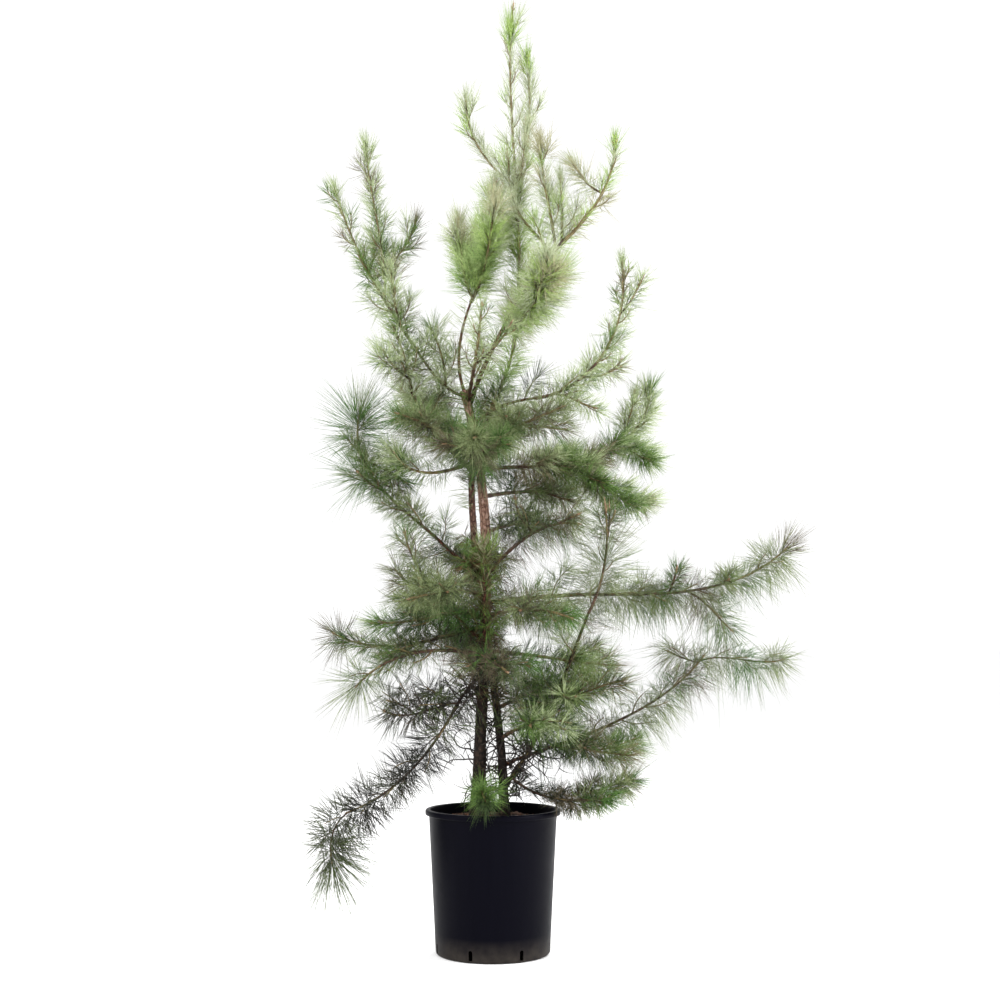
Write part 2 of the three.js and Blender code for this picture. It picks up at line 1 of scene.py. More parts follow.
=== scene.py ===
# Looks of a young long-needled pine with two stems, in a black nursery pot.
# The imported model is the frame: metres, +Z up, the origin in the middle of the
# pot's flat underside, and the front toward -Y. The tables are in millimetres.
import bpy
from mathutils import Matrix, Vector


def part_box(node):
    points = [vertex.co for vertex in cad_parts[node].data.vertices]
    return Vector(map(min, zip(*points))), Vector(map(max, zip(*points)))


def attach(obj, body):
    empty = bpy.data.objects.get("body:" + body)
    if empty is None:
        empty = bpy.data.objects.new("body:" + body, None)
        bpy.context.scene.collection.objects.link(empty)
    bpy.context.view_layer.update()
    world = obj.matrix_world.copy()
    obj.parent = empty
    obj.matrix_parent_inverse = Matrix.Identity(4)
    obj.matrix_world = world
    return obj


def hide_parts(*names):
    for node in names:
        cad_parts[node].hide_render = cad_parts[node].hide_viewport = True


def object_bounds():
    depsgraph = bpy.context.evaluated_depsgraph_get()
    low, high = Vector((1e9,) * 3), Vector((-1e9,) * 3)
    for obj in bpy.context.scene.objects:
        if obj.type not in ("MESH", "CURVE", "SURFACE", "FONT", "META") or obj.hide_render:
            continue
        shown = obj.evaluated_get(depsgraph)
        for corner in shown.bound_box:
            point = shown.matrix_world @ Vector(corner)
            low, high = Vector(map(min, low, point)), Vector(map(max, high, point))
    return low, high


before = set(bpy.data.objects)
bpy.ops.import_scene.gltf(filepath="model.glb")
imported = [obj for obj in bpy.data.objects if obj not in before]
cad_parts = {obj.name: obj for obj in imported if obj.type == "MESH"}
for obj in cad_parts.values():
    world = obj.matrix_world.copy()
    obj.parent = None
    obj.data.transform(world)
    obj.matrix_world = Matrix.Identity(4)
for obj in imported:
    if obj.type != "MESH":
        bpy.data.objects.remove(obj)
plant_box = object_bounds()
pot_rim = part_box("pot")[1]

import functools
import math
from collections import namedtuple

import bmesh
import bpy
import numpy as np
from bpy.props import FloatProperty, FloatVectorProperty, PointerProperty
from mathutils import Vector

bl_info = {
    "name": "Potted pine",
    "version": (1, 0, 0),
    "blender": (4, 5, 0),
    "location": "3D View > Sidebar > Pine",
    "description": "Dresses a potted two-stemmed pine with bark, twigs, needles, pot and mix",
    "category": "Add Mesh",
}

MM = 0.001
SEED = 20

# ---------------------------------------------------------------- the plant

Limb = namedtuple("Limb", "name spring heading rise length thick flare", defaults=[0])
Mass = namedtuple("Mass", "name spring heading rise length needles clear shoots")

# spring: where it starts, as the foot of a stem, or the parent and the fraction of
# its length. heading: plan angle in degrees, 0 toward +X. rise: degrees above level
# at foot, middle and tip. thick: diameters at foot and tip. flare: what the root
# flare adds to the radius at a stem's foot.
LIMBS = [
    Limb("trunk", (-32, 0), 0, (90, 89, 106), 955, (30, 21), 8),
    Limb("second_stem", (24, 8), 160, (91, 81, 91), 780, (17, 13), 4),
    Limb("left_leader", ("trunk", 0.998), 0, (110, 84, 70), 207, (12, 9)),
    Limb("right_leader", ("trunk", 0.955), -15, (74, 60, 56), 385, (15, 11)),
    Limb("centre_leader", ("trunk", 0.87), 25, (62, 67, 76), 240, (11, 9)),
    Limb("upper_left_bough", ("trunk", 0.985), 165, (15, 48, 55), 165, (11, 8)),
    Limb("companion_bough", ("second_stem", 0.998), 194, (42, 50, 78), 240, (11, 8)),
    Limb("upper_right_bough", ("trunk", 0.915), -12, (42, 22, 2), 155, (11, 8)),
    Limb("upright_right_bough", ("second_stem", 0.09), -18, (50, 65, 68), 430, (11, 7)),
    Limb("long_right_bough", ("trunk", 0.5), 8, (6, 5, 3), 205, (12, 9)),
    Limb("low_right_bough", ("second_stem", 0.155), 12, (18, 18, 16), 185, (9, 7)),
    Limb("low_left_bough", ("trunk", 0.335), 185, (-38, -50, -60), 95, (9, 7)),
    Limb("far_left_bough", ("trunk", 0.557), 172, (28, 40, 42), 150, (10, 8)),
    Limb("mid_left_bough", ("trunk", 0.405), 200, (38, 44, 50), 115, (8, 6)),
    Limb("front_shoot", ("trunk", 0.38), -90, (50, 88, 92), 190, (9, 7)),
]

# clear: the fraction of the stem below the first needles. shoots: the side shoots
# that make a mass's own tips, each (at, heading, rise, length).
MASSES = [
    Mass("centre_leader_needles", ("centre_leader", 0.998), 25, (80, 94, 84), 795, "fresh", 0.03,
         [(0.48, 180, (32, 59, 88), 235), (0.49, 4, (66, 87, 94), 295),
          (0.46, -60, (55, 75, 88), 150), (0.26, 120, (45, 62, 80), 190),
          (0.36, -110, (45, 62, 80), 165), (0.03, 78, (25, 45, 66), 230)]),
    Mass("left_leader_needles", ("left_leader", 0.998), 0, (62, 80, 90), 275, "fresh", 0.03,
         [(0.04, 180, (60, 84, 80), 180), (0.25, -75, (35, 55, 80), 180),
          (0.15, 95, (30, 55, 80), 200)]),
    Mass("right_leader_needles", ("right_leader", 0.998), -10, (40, 55, 92), 300, "fresh", 0.03,
         [(0.03, 170, (60, 50, 75), 150), (0.08, 195, (84, 79, 88), 240),
          (0.14, 60, (85, 92, 95), 135), (0.62, 165, (20, 50, 60), 95)]),
    Mass("right_leader_side_needles", ("right_leader", 0.5), -5, (20, 50, 62), 190, "green", 0.03,
         [(0.4, -70, (30, 45, 70), 140)]),
    Mass("upper_left_needles", ("upper_left_bough", 0.998), 172, (56, 62, 74), 425, "green", 0.03,
         [(0.32, 165, (92, 79, 86), 365), (0.45, 10, (45, 52, 76), 165),
          (0.15, -100, (25, 45, 70), 150), (0.5, 85, (30, 50, 70), 135)]),
    Mass("upper_left_inner_needles", ("upper_left_bough", 0.32), 180, (88, 76, 64), 135, "green",
         0.03, []),
    Mass("upper_front_needles", ("trunk", 0.972), -78, (32, 48, 66), 250, "green", 0.2,
         [(0.45, -20, (30, 45, 60), 120)]),
    Mass("companion_needles", ("companion_bough", 0.998), 186, (84, 72, 68), 135, "green", 0.03,
         [(0.1, -130, (20, 30, 50), 100)]),
    Mass("curved_left_needles", ("trunk", 0.83), 192, (-16, -6, 62), 205, "green", 0.6,
         [(0.72, 150, (10, 30, 50), 75)]),
    Mass("upper_right_needles", ("upper_right_bough", 0.998), -14, (4, 58, 96), 395, "green", 0.03,
         [(0.72, 0, (40, 60, 70), 85), (0.12, -40, (-10, -25, -15), 120),
          (0.3, 40, (5, 20, 50), 130)]),
    Mass("mid_right_needles", ("trunk", 0.81), 12, (8, 16, 90), 490, "green", 0.15,
         [(0.7, -10, (80, 72, 84), 110), (0.7, 5, (-42, -38, -20), 75),
          (0.36, -2, (-6, -34, 14), 225), (0.3, 60, (10, 20, 30), 120)]),
    Mass("rising_right_needles", ("trunk", 0.565), -28, (42, 30, -10), 255, "old", 0.35,
         [(0.58, 175, (40, 60, 84), 85), (0.7, -40, (10, 15, 20), 90)]),
    Mass("upright_right_needles", ("upright_right_bough", 0.998), -10, (62, 80, 95), 225, "old",
         0.03, [(0.72, 60, (60, 80, 90), 70)]),
    Mass("upright_right_low_needles", ("upright_right_bough", 0.5), -30, (12, 22, 8), 175, "green",
         0.03,
         [(0.2, -80, (10, 10, 0), 90), (0.1, 200, (5, -10, 0), 85)]),
    Mass("inner_right_needles", ("trunk", 0.387), 10, (-2, -8, -4), 290, "green", 0.45,
         [(0.6, 45, (10, 10, 20), 110), (0.62, 5, (-40, -45, -30), 80)]),
    Mass("long_right_needles", ("long_right_bough", 0.998), 6, (2, 7, 43), 500, "old", 0.03,
         [(0.5, 10, (-18, -45, -40), 135), (0.42, -60, (50, 60, 70), 60),
          (0.66, -80, (10, 10, 10), 60), (0.25, 40, (10, 5, 10), 110)]),
    Mass("low_right_needles", ("low_right_bough", 0.998), 5, (22, 30, 52), 335, "old", 0.03,
         [(0.97, 0, (22, -8, 14), 185), (0.96, 175, (10, 20, 25), 70)]),
    Mass("low_right_inner_needles", ("low_right_bough", 0.62), -28, (6, -6, 0), 190, "green", 0.03,
         [(0.5, 20, (0, 5, 10), 110), (0.35, -80, (10, 5, 0), 70)]),
    Mass("foot_right_needles", ("upright_right_bough", 0.07), -24, (-40, -6, 10), 235, "old", 0.25,
         [(0.7, 10, (30, 18, 14), 125)]),
    Mass("left_low_needles", ("trunk", 0.378), 192, (12, -10, -48), 300, "old", 0.12,
         [(0.45, 165, (0, -15, -20), 90)]),
    Mass("left_mid_needles", ("trunk", 0.443), 171, (-12, -8, 28), 350, "old", 0.12,
         [(0.4, 210, (-10, -20, -15), 85)]),
    Mass("left_high_needles", ("trunk", 0.485), 183, (-6, -10, 2), 250, "green", 0.15,
         [(0.4, 150, (0, 5, 10), 80)]),
    Mass("low_left_needles", ("low_left_bough", 0.998), 185, (-62, -46, -20), 330, "old", 0.03,
         [(0.99, 182, (-25, -72, -102), 125)]),
    Mass("low_left_inner_needles", ("low_left_bough", 0.9), 174, (-4, -16, 26), 165, "old", 0.03,
         [(0.6, 200, (45, 25, 15), 65), (0.1, 150, (50, 10, -30), 80)]),
    Mass("far_left_needles", ("far_left_bough", 0.998), 175, (42, 50, 102), 335, "old", 0.03,
         [(0.72, 5, (-25, -28, -30), 110), (0.45, 215, (20, 30, 40), 80)]),
    Mass("mid_left_needles", ("mid_left_bough", 0.998), 196, (50, 54, 80), 190, "old", 0.03,
         [(0.35, 175, (-20, 20, 60), 85), (0.2, -120, (20, 20, 30), 80)]),
    Mass("front_shoot_needles", ("front_shoot", 0.998), -90, (92, 90, 88), 60, "fresh", 0.03,
         []),
    Mass("front_high_needles", ("trunk", 0.772), -93, (30, 20, -5), 260, "green", 0.25,
         [(0.5, -140, (15, 10, 0), 90), (0.5, -45, (15, 10, 0), 90)]),
    Mass("front_left_high_needles", ("trunk", 0.845), -138, (25, 18, 8), 235, "green", 0.25,
         [(0.5, 180, (15, 20, 30), 80)]),
    Mass("front_right_high_needles", ("trunk", 0.857), -50, (20, 12, 10), 290, "green", 0.25,
         [(0.45, -100, (10, 10, 5), 90), (0.55, 0, (0, -10, 0), 90)]),
    Mass("back_high_needles", ("trunk", 0.82), 84, (28, 20, 32), 370, "green", 0.25,
         [(0.5, 130, (15, 20, 30), 100), (0.55, 40, (10, 15, 25), 100)]),
    Mass("back_left_high_needles", ("trunk", 0.895), 140, (25, 25, 45), 255, "green", 0.25,
         [(0.5, 95, (20, 30, 50), 100)]),
    Mass("back_right_high_needles", ("trunk", 0.745), 40, (14, 5, 16), 335, "green", 0.2,
         [(0.5, 85, (5, 5, 20), 100), (0.5, 5, (-10, -20, -10), 90)]),
    Mass("back_right_mid_needles", ("trunk", 0.66), 62, (18, 10, 22), 255, "old", 0.2,
         [(0.5, 15, (0, 0, 10), 90)]),
    Mass("back_mid_needles", ("trunk", 0.53), 98, (25, 16, 22), 380, "old", 0.2,
         [(0.5, 140, (10, 10, 20), 100), (0.5, 55, (10, 10, 20), 100)]),
    Mass("front_right_mid_needles", ("trunk", 0.468), -55, (8, 0, -15), 310, "old", 0.25,
         [(0.5, -100, (0, 0, -10), 80), (0.5, -10, (0, -10, -10), 80)]),
    Mass("front_left_mid_needles", ("trunk", 0.517), -132, (10, -4, -10), 240, "old", 0.25,
         [(0.5, -90, (0, 0, -10), 70)]),
    Mass("back_left_mid_needles", ("trunk", 0.46), 140, (15, 8, 22), 275, "old", 0.2,
         [(0.5, 100, (10, 10, 20), 90)]),
    Mass("front_low_needles", ("trunk", 0.355), -72, (8, -4, -15), 165, "old", 0.25,
         [(0.4, -130, (0, 0, -10), 80), (0.4, -20, (0, 0, -10), 80)]),
    Mass("back_low_needles", ("trunk", 0.36), 104, (15, 10, 16), 350, "old", 0.2,
         [(0.5, 60, (10, 10, 10), 100)]),
    Mass("back_right_low_needles", ("second_stem", 0.31), 52, (20, 10, 12), 275, "green", 0.2,
         [(0.5, 95, (10, 10, 10), 100), (0.5, 10, (0, -10, 0), 90)]),
    Mass("front_right_low_needles", ("second_stem", 0.225), -48, (30, 12, -6), 225, "green", 0.25,
         [(0.5, -95, (10, 0, -10), 80)]),
    Mass("front_foot_needles", ("trunk", 0.06), -84, (26, 0, -26), 145, "fresh", 0.45,
         []),
]

# How needles stand. spread: angles off the shoot at its foot and at its tip. droop: how
# far they bend down. pitch: mm of shoot for each bundle. gather: under 1 crowds bundles
# toward the tip. rings: places along a needle where it has a section, so two of them let
# it bend. width: how its thickness stands to the property's.
Style = namedtuple("Style", "length spread droop pitch gather rings width")
STYLES = {
    "fresh": Style(64, (62, 16), 0.0, 1.6, 0.9, (0.35,), 1.0),
    "green": Style(66, (82, 24), 0.04, 1.25, 0.95, (0.35,), 1.0),
    "old": Style(64, (88, 28), 0.08, 1.3, 0.95, (0.35,), 1.0),
    "straw": Style(60, (86, 60), 0.2, 1.8, 1.0, (0.35,), 1.1),
    "whorled": Style(62, (26, 14), 0.0, 3.0, 0.6, (0.35,), 1.1),
    "fan": Style(80, (30, 8), 0.0, 1.0, 0.8, (0.35,), 0.9),
    "burst": Style(100, (112, 12), 0.1, 0.5, 0.7, (0.3, 0.65), 0.85),
    "weeping": Style(84, (84, 40), 0.45, 1.3, 1.0, (0.45,), 0.85),
    "loose": Style(104, (92, 56), 0.12, 1.7, 1.0, (0.45,), 0.8),
    "wispy": Style(92, (98, 58), 0.12, 0.8, 1.0, (0.3, 0.65), 1.15),
    "rosette": Style(58, (118, 12), 0.16, 0.45, 0.6, (0.35,), 1.0),
}
TIP_STYLES = ("burst", "fan", "rosette")  # these leave out the finer twigs
# What differs from a mass's own kind, for all its shoots or for one (0 is its stem).
# Each part starts at a fraction of the shoot: its style, length factor and closeness,
# where a closeness of 0 leaves it bare.
DRESS = {
    "centre_leader_needles": [(0, "whorled", 1.0, 1.1), (0.82, "fan", 0.7, 1.2)],
    ("centre_leader_needles", 0): [(0, "fresh", 1.0, 1.4), (0.5, "whorled", 1.0, 0.8),
                                   (0.88, "fan", 1.05, 2.0), (0.92, "fan", 1.0, 0)],
    ("centre_leader_needles", 4): [(0, "fresh", 0.9, 1.2)],
    ("centre_leader_needles", 5): [(0, "fresh", 0.9, 1.2)],
    ("centre_leader_needles", 6): [(0, "fresh", 1.0, 1.4)],
    "left_leader_needles": [(0, "fresh", 1.05, 2.6), (0.85, "fan", 0.75, 1.3)],
    ("right_leader_needles", 0): [(0, "fresh", 0.8, 0.7), (0.88, "fan", 0.7, 1.1)],
    "right_leader_needles": [(0, "fresh", 1.0, 1.0), (0.8, "fan", 0.75, 1.2)],
    "right_leader_side_needles": [(0, "green", 1.12, 2.4)],
    "upper_left_needles": [(0, "fresh", 0.88, 1.0), (0.9, "fan", 0.7, 1.1)],
    ("upper_left_needles", 0): [(0, "green", 0.9, 0.8), (0.5, "fresh", 0.8, 0.8),
                                (0.9, "fan", 0.7, 1.1)],
    "upper_front_needles": [(0, "green", 0.75, 0.6)],
    "upper_right_needles": [(0, "green", 0.8, 0.7)],
    ("upper_right_needles", 0): [(0, "green", 0.9, 0.85), (0.6, "fresh", 0.62, 0.8),
                                 (0.9, "fan", 0.6, 1.1)],
    "mid_right_needles": [(0, "green", 0.9, 2.4)],
    ("mid_right_needles", 0): [(0, "green", 1.0, 2.2), (0.7, "fresh", 0.9, 1.8)],
    ("mid_right_needles", 1): [(0, "fresh", 0.8, 1.2)],
    "rising_right_needles": [(0, "weeping", 0.85, 1.1)],
    ("upright_right_needles", 0): [(0, "loose", 1.1, 1.0), (0.36, "burst", 1.25, 0.8),
                                   (0.54, "burst", 1.0, 0)],
    "long_right_needles": [(0, "weeping", 0.9, 1.0)],
    ("long_right_needles", 0): [(0, "weeping", 0.95, 1.1), (0.86, "burst", 0.95, 0.8)],
    ("long_right_needles", 2): [(0, "green", 0.8, 1.3)],
    ("long_right_needles", 3): [(0, "green", 0.8, 1.3)],
    "low_right_needles": [(0, "weeping", 1.0, 1.1)],
    ("low_right_needles", 1): [(0, "weeping", 1.0, 1.1), (0.88, "burst", 0.65, 0.7)],
    "foot_right_needles": [(0, "old", 0.95, 2.2)],
    ("foot_right_needles", 0): [(0.02, "old", 1.0, 2.4), (0.25, "rosette", 1.0, 0.6),
                                (0.42, "old", 0.95, 2.2)],
    "far_left_needles": [(0, "green", 0.9, 1.1)],
    ("far_left_needles", 0): [(0, "green", 0.9, 1.3), (0.82, "burst", 1.25, 1.3)],
    ("far_left_needles", 2): [(0, "green", 0.9, 1.1), (0.6, "burst", 1.05, 0.8)],
    "low_left_needles": [(0, "wispy", 0.85, 0.4)],
    ("low_left_needles", 0): [(0, "wispy", 0.9, 0.35), (0.4, "wispy", 0.7, 0.8),
                              (0.62, "wispy", 1.0, 0.4), (0.82, "wispy", 1.0, 1.0)],
    ("low_left_needles", 1): [(0, "wispy", 1.1, 0.6), (0.6, "burst", 1.35, 1.5)],
    ("left_mid_needles", 0): [(0.05, "old", 1.0, 1.0), (0.93, "burst", 0.8, 1.0)],
    ("left_low_needles", 0): [(0.05, "old", 1.0, 0.4), (0.93, "burst", 0.95, 1.3)],
    ("left_low_needles", 1): [(0.05, "old", 1.0, 0.4)],
    "low_left_inner_needles": [(0, "wispy", 0.75, 0.42)],
    "front_high_needles": [(0, "old", 1.0, 1.6)],
    "front_left_high_needles": [(0, "old", 1.0, 1.4)],
    "front_foot_needles": [(0.55, "rosette", 1.0, 1.9)],
    "front_shoot_needles": [(0, "fresh", 0.8, 1.3)],
}
# Masses whose needles take another kind's colours: painted shade for those standing in more shade,
# painted light for those standing in more light.
OTHER_KINDS = {
    "low_left_needles": "browned",
    "low_left_inner_needles": "browned",
    "front_foot_needles": "green",
    "front_high_needles": "old",
    "front_left_high_needles": "old",
    "front_right_high_needles": "old",
    "right_leader_side_needles": "fresh",
}
# Limbs with needles of their own: from and to along the limb, kind, style and closeness.
LEAFY_LIMBS = [
    ("left_leader", 0.6, 1, "fresh", "green", 0.4),
    ("right_leader", 0.6, 1, "fresh", "green", 0.5),
    ("centre_leader", 0.05, 1, "fresh", "green", 1.5),
    ("upper_left_bough", 0.2, 1, "green", "green", 0.5),
    ("companion_bough", 0.1, 1, "green", "green", 1.2),
    ("upper_right_bough", 0.1, 1, "green", "green", 1.2),
    ("low_right_bough", 0.3, 1, "green", "green", 0.8),
    ("long_right_bough", 0.15, 1, "green", "loose", 1.0),
    ("far_left_bough", 0.15, 1, "green", "green", 1.2),
    ("mid_left_bough", 0.1, 1, "old", "old", 1.0),
    # painted shade: the low left bough's needles take the dark grey tones of the kind for shade
    ("low_left_bough", 0.1, 1, "browned", "wispy", 0.7),
    ("upright_right_bough", 0.3, 1, "green", "loose", 1.2),
    ("trunk", 0.38, 0.63, "straw", "straw", 1.3),
    ("trunk", 0.79, 0.99, "green", "green", 0.9),
    ("second_stem", 0.3, 0.7, "straw", "straw", 0.8),
    ("second_stem", 0.88, 1, "green", "green", 0.8),
    ("front_shoot", 0.6, 1, "fresh", "fresh", 0.4),
]
# Limbs that fine twigs grow on too: from and to along the limb, and the twigs' kind.
TWIGGY_LIMBS = [
    ("trunk", 0.4, 0.64, "straw"),
    ("trunk", 0.8, 0.99, "green"),
    ("second_stem", 0.34, 0.72, "straw"),
    ("long_right_bough", 0.1, 1, "green"),
    ("far_left_bough", 0.1, 1, "green"),
    ("mid_left_bough", 0.1, 1, "old"),
    ("upright_right_bough", 0.25, 0.85, "green"),
    ("low_right_bough", 0.2, 1, "green"),
    ("upper_left_bough", 0.1, 1, "green"),
    ("upper_right_bough", 0.1, 1, "green"),
    ("companion_bough", 0.1, 1, "green"),
    ("right_leader", 0.1, 0.9, "fresh"),
    ("centre_leader", 0.1, 0.9, "fresh"),
]
GOLDEN_ANGLE = 137.5  # degrees from one leaf or shoot to the next
FLARE_REACH = 45  # how far up a stem the root flare fades
BUNDLE = 3  # needles that spring from one sheath
TWIG_EVERY = {"fresh": 60, "green": 36, "old": 38, "straw": 15}  # shoot length for each twig
TWIG_LENGTH = 56
TWIG_ANGLE = 50.0  # off its shoot
LIMB_TWIG_ANGLE = 70.0  # off its limb
TWIG_RADIUS = 1.2  # the most that a twig's tip measures
LIMB_TWIG_RADII = (1.7, 0.9)
FORK_SHARE = 0.62  # a twig's radius at its foot, to its parent's there
THICKEST_SHOOT = 5.0  # radius at the foot of the thickest shoot
SHOOT_TIP = 2.1  # radius
SIDE_SHARE = 0.8  # a side shoot's radius at its foot, to its stem's there
SIDE_CLEAR = 0.08  # the bare fraction at the foot of a side shoot
TWIG_CLEAR = 0.1
POT_ROOM = 14  # how far twigs keep from the pot, so that their needles clear it too

# How a limb's bark stands to its tabled width, where it isn't the same.
BARK_WIDTH = {"trunk": 0.92, "second_stem": 1.15, "left_leader": 0.65, "right_leader": 0.75,
              "centre_leader": 0.7, "upper_left_bough": 0.75, "upper_right_bough": 0.75}

# Boughs whose bark isn't brown.
BOUGH_COLOURS = {
    "long_right_bough": "bark_orange",
    "low_right_bough": "bark_orange",
    "upright_right_bough": "bark_olive",
    "low_left_bough": "bark_dark",
}

# ---------------------------------------------------------------- directions and routes


def unit(vectors):
    """Vectors of length one."""
    return vectors / np.linalg.norm(vectors, axis=-1, keepdims=True)


def mix(a, b, t):
    """The value a fraction t of the way from a to b."""
    return a + (b - a) * t


def smooth(t):
    """Eases from 0 to 1 as t goes from 0 to 1."""
    t = np.clip(t, 0, 1)
    return t * t * (3 - 2 * t)


def between(values, t):
    """The quadratic through a value at the foot, the middle and the tip."""
    foot, middle, tip = values
    return foot * (1 - t) * (1 - 2 * t) + 4 * middle * t * (1 - t) + tip * t * (2 * t - 1)


def heading_vectors(heading, rise):
    """Directions with one plan heading and rises above level, in degrees."""
    rise = np.radians(rise)
    turn = math.radians(heading)
    level = np.cos(rise)
    return np.stack([level * math.cos(turn), level * math.sin(turn), np.sin(rise)], axis=-1)


def off_shoot(axes, turns, angles):
    """Directions that leave a shoot at angles, turned round it, all in degrees."""
    sides = np.cross([0.0, 0.0, 1.0], axes)
    upright = np.linalg.norm(sides, axis=-1) < 0.03
    sides[upright] = [1.0, 0.0, 0.0]
    sides = unit(sides - axes * np.sum(sides * axes, axis=-1, keepdims=True))
    turns = np.radians(turns)[:, None]
    angles = np.radians(angles)[:, None]
    around = sides * np.cos(turns) + np.cross(axes, sides) * np.sin(turns)
    return axes * np.cos(angles) + around * np.sin(angles)


class Path:
    """A route through space with a side direction carried along it."""

    def __init__(self, points):
        self.points = np.asarray(points)
        gaps = np.linalg.norm(np.diff(self.points, axis=0), axis=1)
        self.reach = np.concatenate([[0.0], np.cumsum(gaps)])
        self.length = self.reach[-1]
        self.tangents = unit(np.gradient(self.points, axis=0))
        self.sides = self.carry_side()

    def carry_side(self):
        """Side directions that turn no more along the route than they have to."""
        side = np.array([1.0, 0.0, 0.0])
        if abs(self.tangents[0][0]) > 0.8:
            side = np.array([0.0, 0.0, 1.0])
        sides = []
        for tangent in self.tangents:
            side = side - tangent * np.dot(side, tangent)
            side = side / np.linalg.norm(side)
            sides.append(side)
        return np.array(sides)

    def pick(self, values, t):
        """The values at fractions of the length."""
        spots = np.asarray(t) * self.length
        return np.stack([np.interp(spots, self.reach, values[:, k]) for k in range(3)], axis=-1)

    def at(self, t):
        """Points and directions at fractions of the length."""
        return self.pick(self.points, t), unit(self.pick(self.tangents, t))


def trace(start, heading, rise, length, step=5):
    """The route that starts at a point, with one heading and a changing rise."""
    pieces = max(4, round(length / step))
    t = (np.arange(pieces) + 0.5) / pieces
    moves = heading_vectors(heading, between(rise, t)) * (length * MM / pieces)
    return Path(np.vstack([start, start + np.cumsum(moves, axis=0)]))


def swing(start, first, last, length, pieces=7):
    """A route that leaves along one direction and turns to another."""
    t = ((np.arange(pieces) + 0.5) / pieces)[:, None]
    moves = unit(mix(first, last, smooth(t))) * (length / pieces)
    return Path(np.vstack([start, start + np.cumsum(moves, axis=0)]))


# ---------------------------------------------------------------- growing the plant

# A shoot that carries needles. clear: the bare fraction at its foot. radii: at foot and
# tip. order: 0 for a mass's stem, 1 for its side shoots and 2 for a finer twig. number:
# its place, or its parent's, in the mass. at: where a finer twig springs from its parent.
Shoot = namedtuple("Shoot", "path clear radii order mass number at", defaults=[0])


def limb_radius(limb, t):
    """Half the taper, widened at the foot by the flare."""
    taper = mix(limb.thick[0], limb.thick[1], t) / 2
    return (taper + limb.flare * np.exp(-t * limb.length / FLARE_REACH)) * MM


def lay_limbs():
    """The routes of the stems and boughs by name, each sprung from its parent's."""
    soil_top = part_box("potting_mix")[1].z
    paths = {}
    for limb in LIMBS:
        if isinstance(limb.spring[0], str):
            parent, at = limb.spring
            start = paths[parent].at(at)[0]
        else:
            start = np.array([limb.spring[0] * MM, limb.spring[1] * MM, soil_top])
        paths[limb.name] = trace(start, limb.heading, limb.rise, limb.length)
    return paths


def lay_shoots(paths):
    """Each mass's stem and named side shoots."""
    limbs = {limb.name: limb for limb in LIMBS}
    shoots = []
    for mass in MASSES:
        parent, at = mass.spring
        start = paths[parent].at(at)[0]
        carries_on = at > 0.99
        foot = limb_radius(limbs[parent], at) * (0.98 if carries_on else FORK_SHARE)
        foot = min(foot, THICKEST_SHOOT * MM)
        tip = SHOOT_TIP * MM
        stem = trace(start, mass.heading, mass.rise, mass.length)
        shoots.append(Shoot(stem, mass.clear, (foot, tip), 0, mass, 0))
        for number, (at, heading, rise, length) in enumerate(mass.shoots, 1):
            path = trace(stem.at(at)[0], heading, rise, length)
            radius = mix(foot, tip, at) * SIDE_SHARE
            shoots.append(Shoot(path, SIDE_CLEAR, (radius, tip), 1, mass, number))
    return shoots


def in_pot(points, margin=0.0):
    """True for points under the rim's level and inside its circle, give or take a margin."""
    within = np.hypot(points[..., 0], points[..., 1]) < pot_rim.x + margin
    return within & (points[..., 2] < pot_rim.z + margin)


def grow_twigs(shoots):
    """Finer twigs fork off the shoots, turned round by the golden angle, clear of the pot."""
    rng = np.random.default_rng(SEED)
    grown = []
    for shoot in shoots:
        bare = shoot.clear
        kind = shoot.mass.needles
        count = round(shoot.path.length * (1 - bare) / (TWIG_EVERY[kind] * MM))
        for i in range(count):
            t = bare + (1 - bare) * (i + 0.3 + 0.4 * rng.random()) / (count + 0.5)
            start, axis = shoot.path.at([t])
            turn = GOLDEN_ANGLE * i + 60 * rng.random()
            way = off_shoot(axis, [turn], [TWIG_ANGLE])[0]
            lift = np.array([0, 0, 0.05 if kind == "old" else 0.35])  # old twigs rise less
            length = TWIG_LENGTH * MM * (1 - 0.5 * t) * (0.75 + 0.6 * rng.random())
            path = swing(start[0], way, unit(axis[0] + way * 0.5 + lift), length)
            if in_pot(path.points, POT_ROOM * MM).any():
                continue
            foot = mix(*shoot.radii, t) * FORK_SHARE
            radii = (foot, min(foot, TWIG_RADIUS * MM))
            grown.append(Shoot(path, TWIG_CLEAR, radii, 2, shoot.mass, shoot.number, t))
    return grown


def grow_limb_twigs(paths):
    """Fine twigs that stand well off the limbs, so that no limb shows bare for long."""
    rng = np.random.default_rng(SEED + 5)
    limbs = {limb.name: limb for limb in LIMBS}
    radii = tuple(radius * MM for radius in LIMB_TWIG_RADII)
    grown = []
    for name, first, last, kind in TWIGGY_LIMBS:
        owner = Mass(name, None, 0, None, 0, kind, 0, ())
        reach = paths[name].length * (last - first)
        count = round(reach / (TWIG_EVERY[kind] * MM))
        for i in range(count):
            t = mix(first, last, (i + 0.3 + 0.4 * rng.random()) / count)
            start, axis = paths[name].at([t])
            turn = GOLDEN_ANGLE * i + 60 * rng.random()
            way = off_shoot(axis, [turn], [LIMB_TWIG_ANGLE])[0]
            start = start[0] + way * limb_radius(limbs[name], t) * 0.7
            end_way = unit(way + 0.5 * axis[0] + rng.normal(0, 0.25, 3))
            path = swing(start, way, end_way, TWIG_LENGTH * MM * rng.uniform(0.6, 1.3))
            grown.append(Shoot(path, TWIG_CLEAR, radii, 2, owner, 0))
    return grown


@functools.lru_cache(maxsize=None)
def plant():
    """The limbs' routes by name, and all the shoots that carry needles."""
    paths = lay_limbs()
    shoots = lay_shoots(paths)
    return paths, shoots + grow_twigs(shoots) + grow_limb_twigs(paths)


# ---------------------------------------------------------------- meshes from arrays


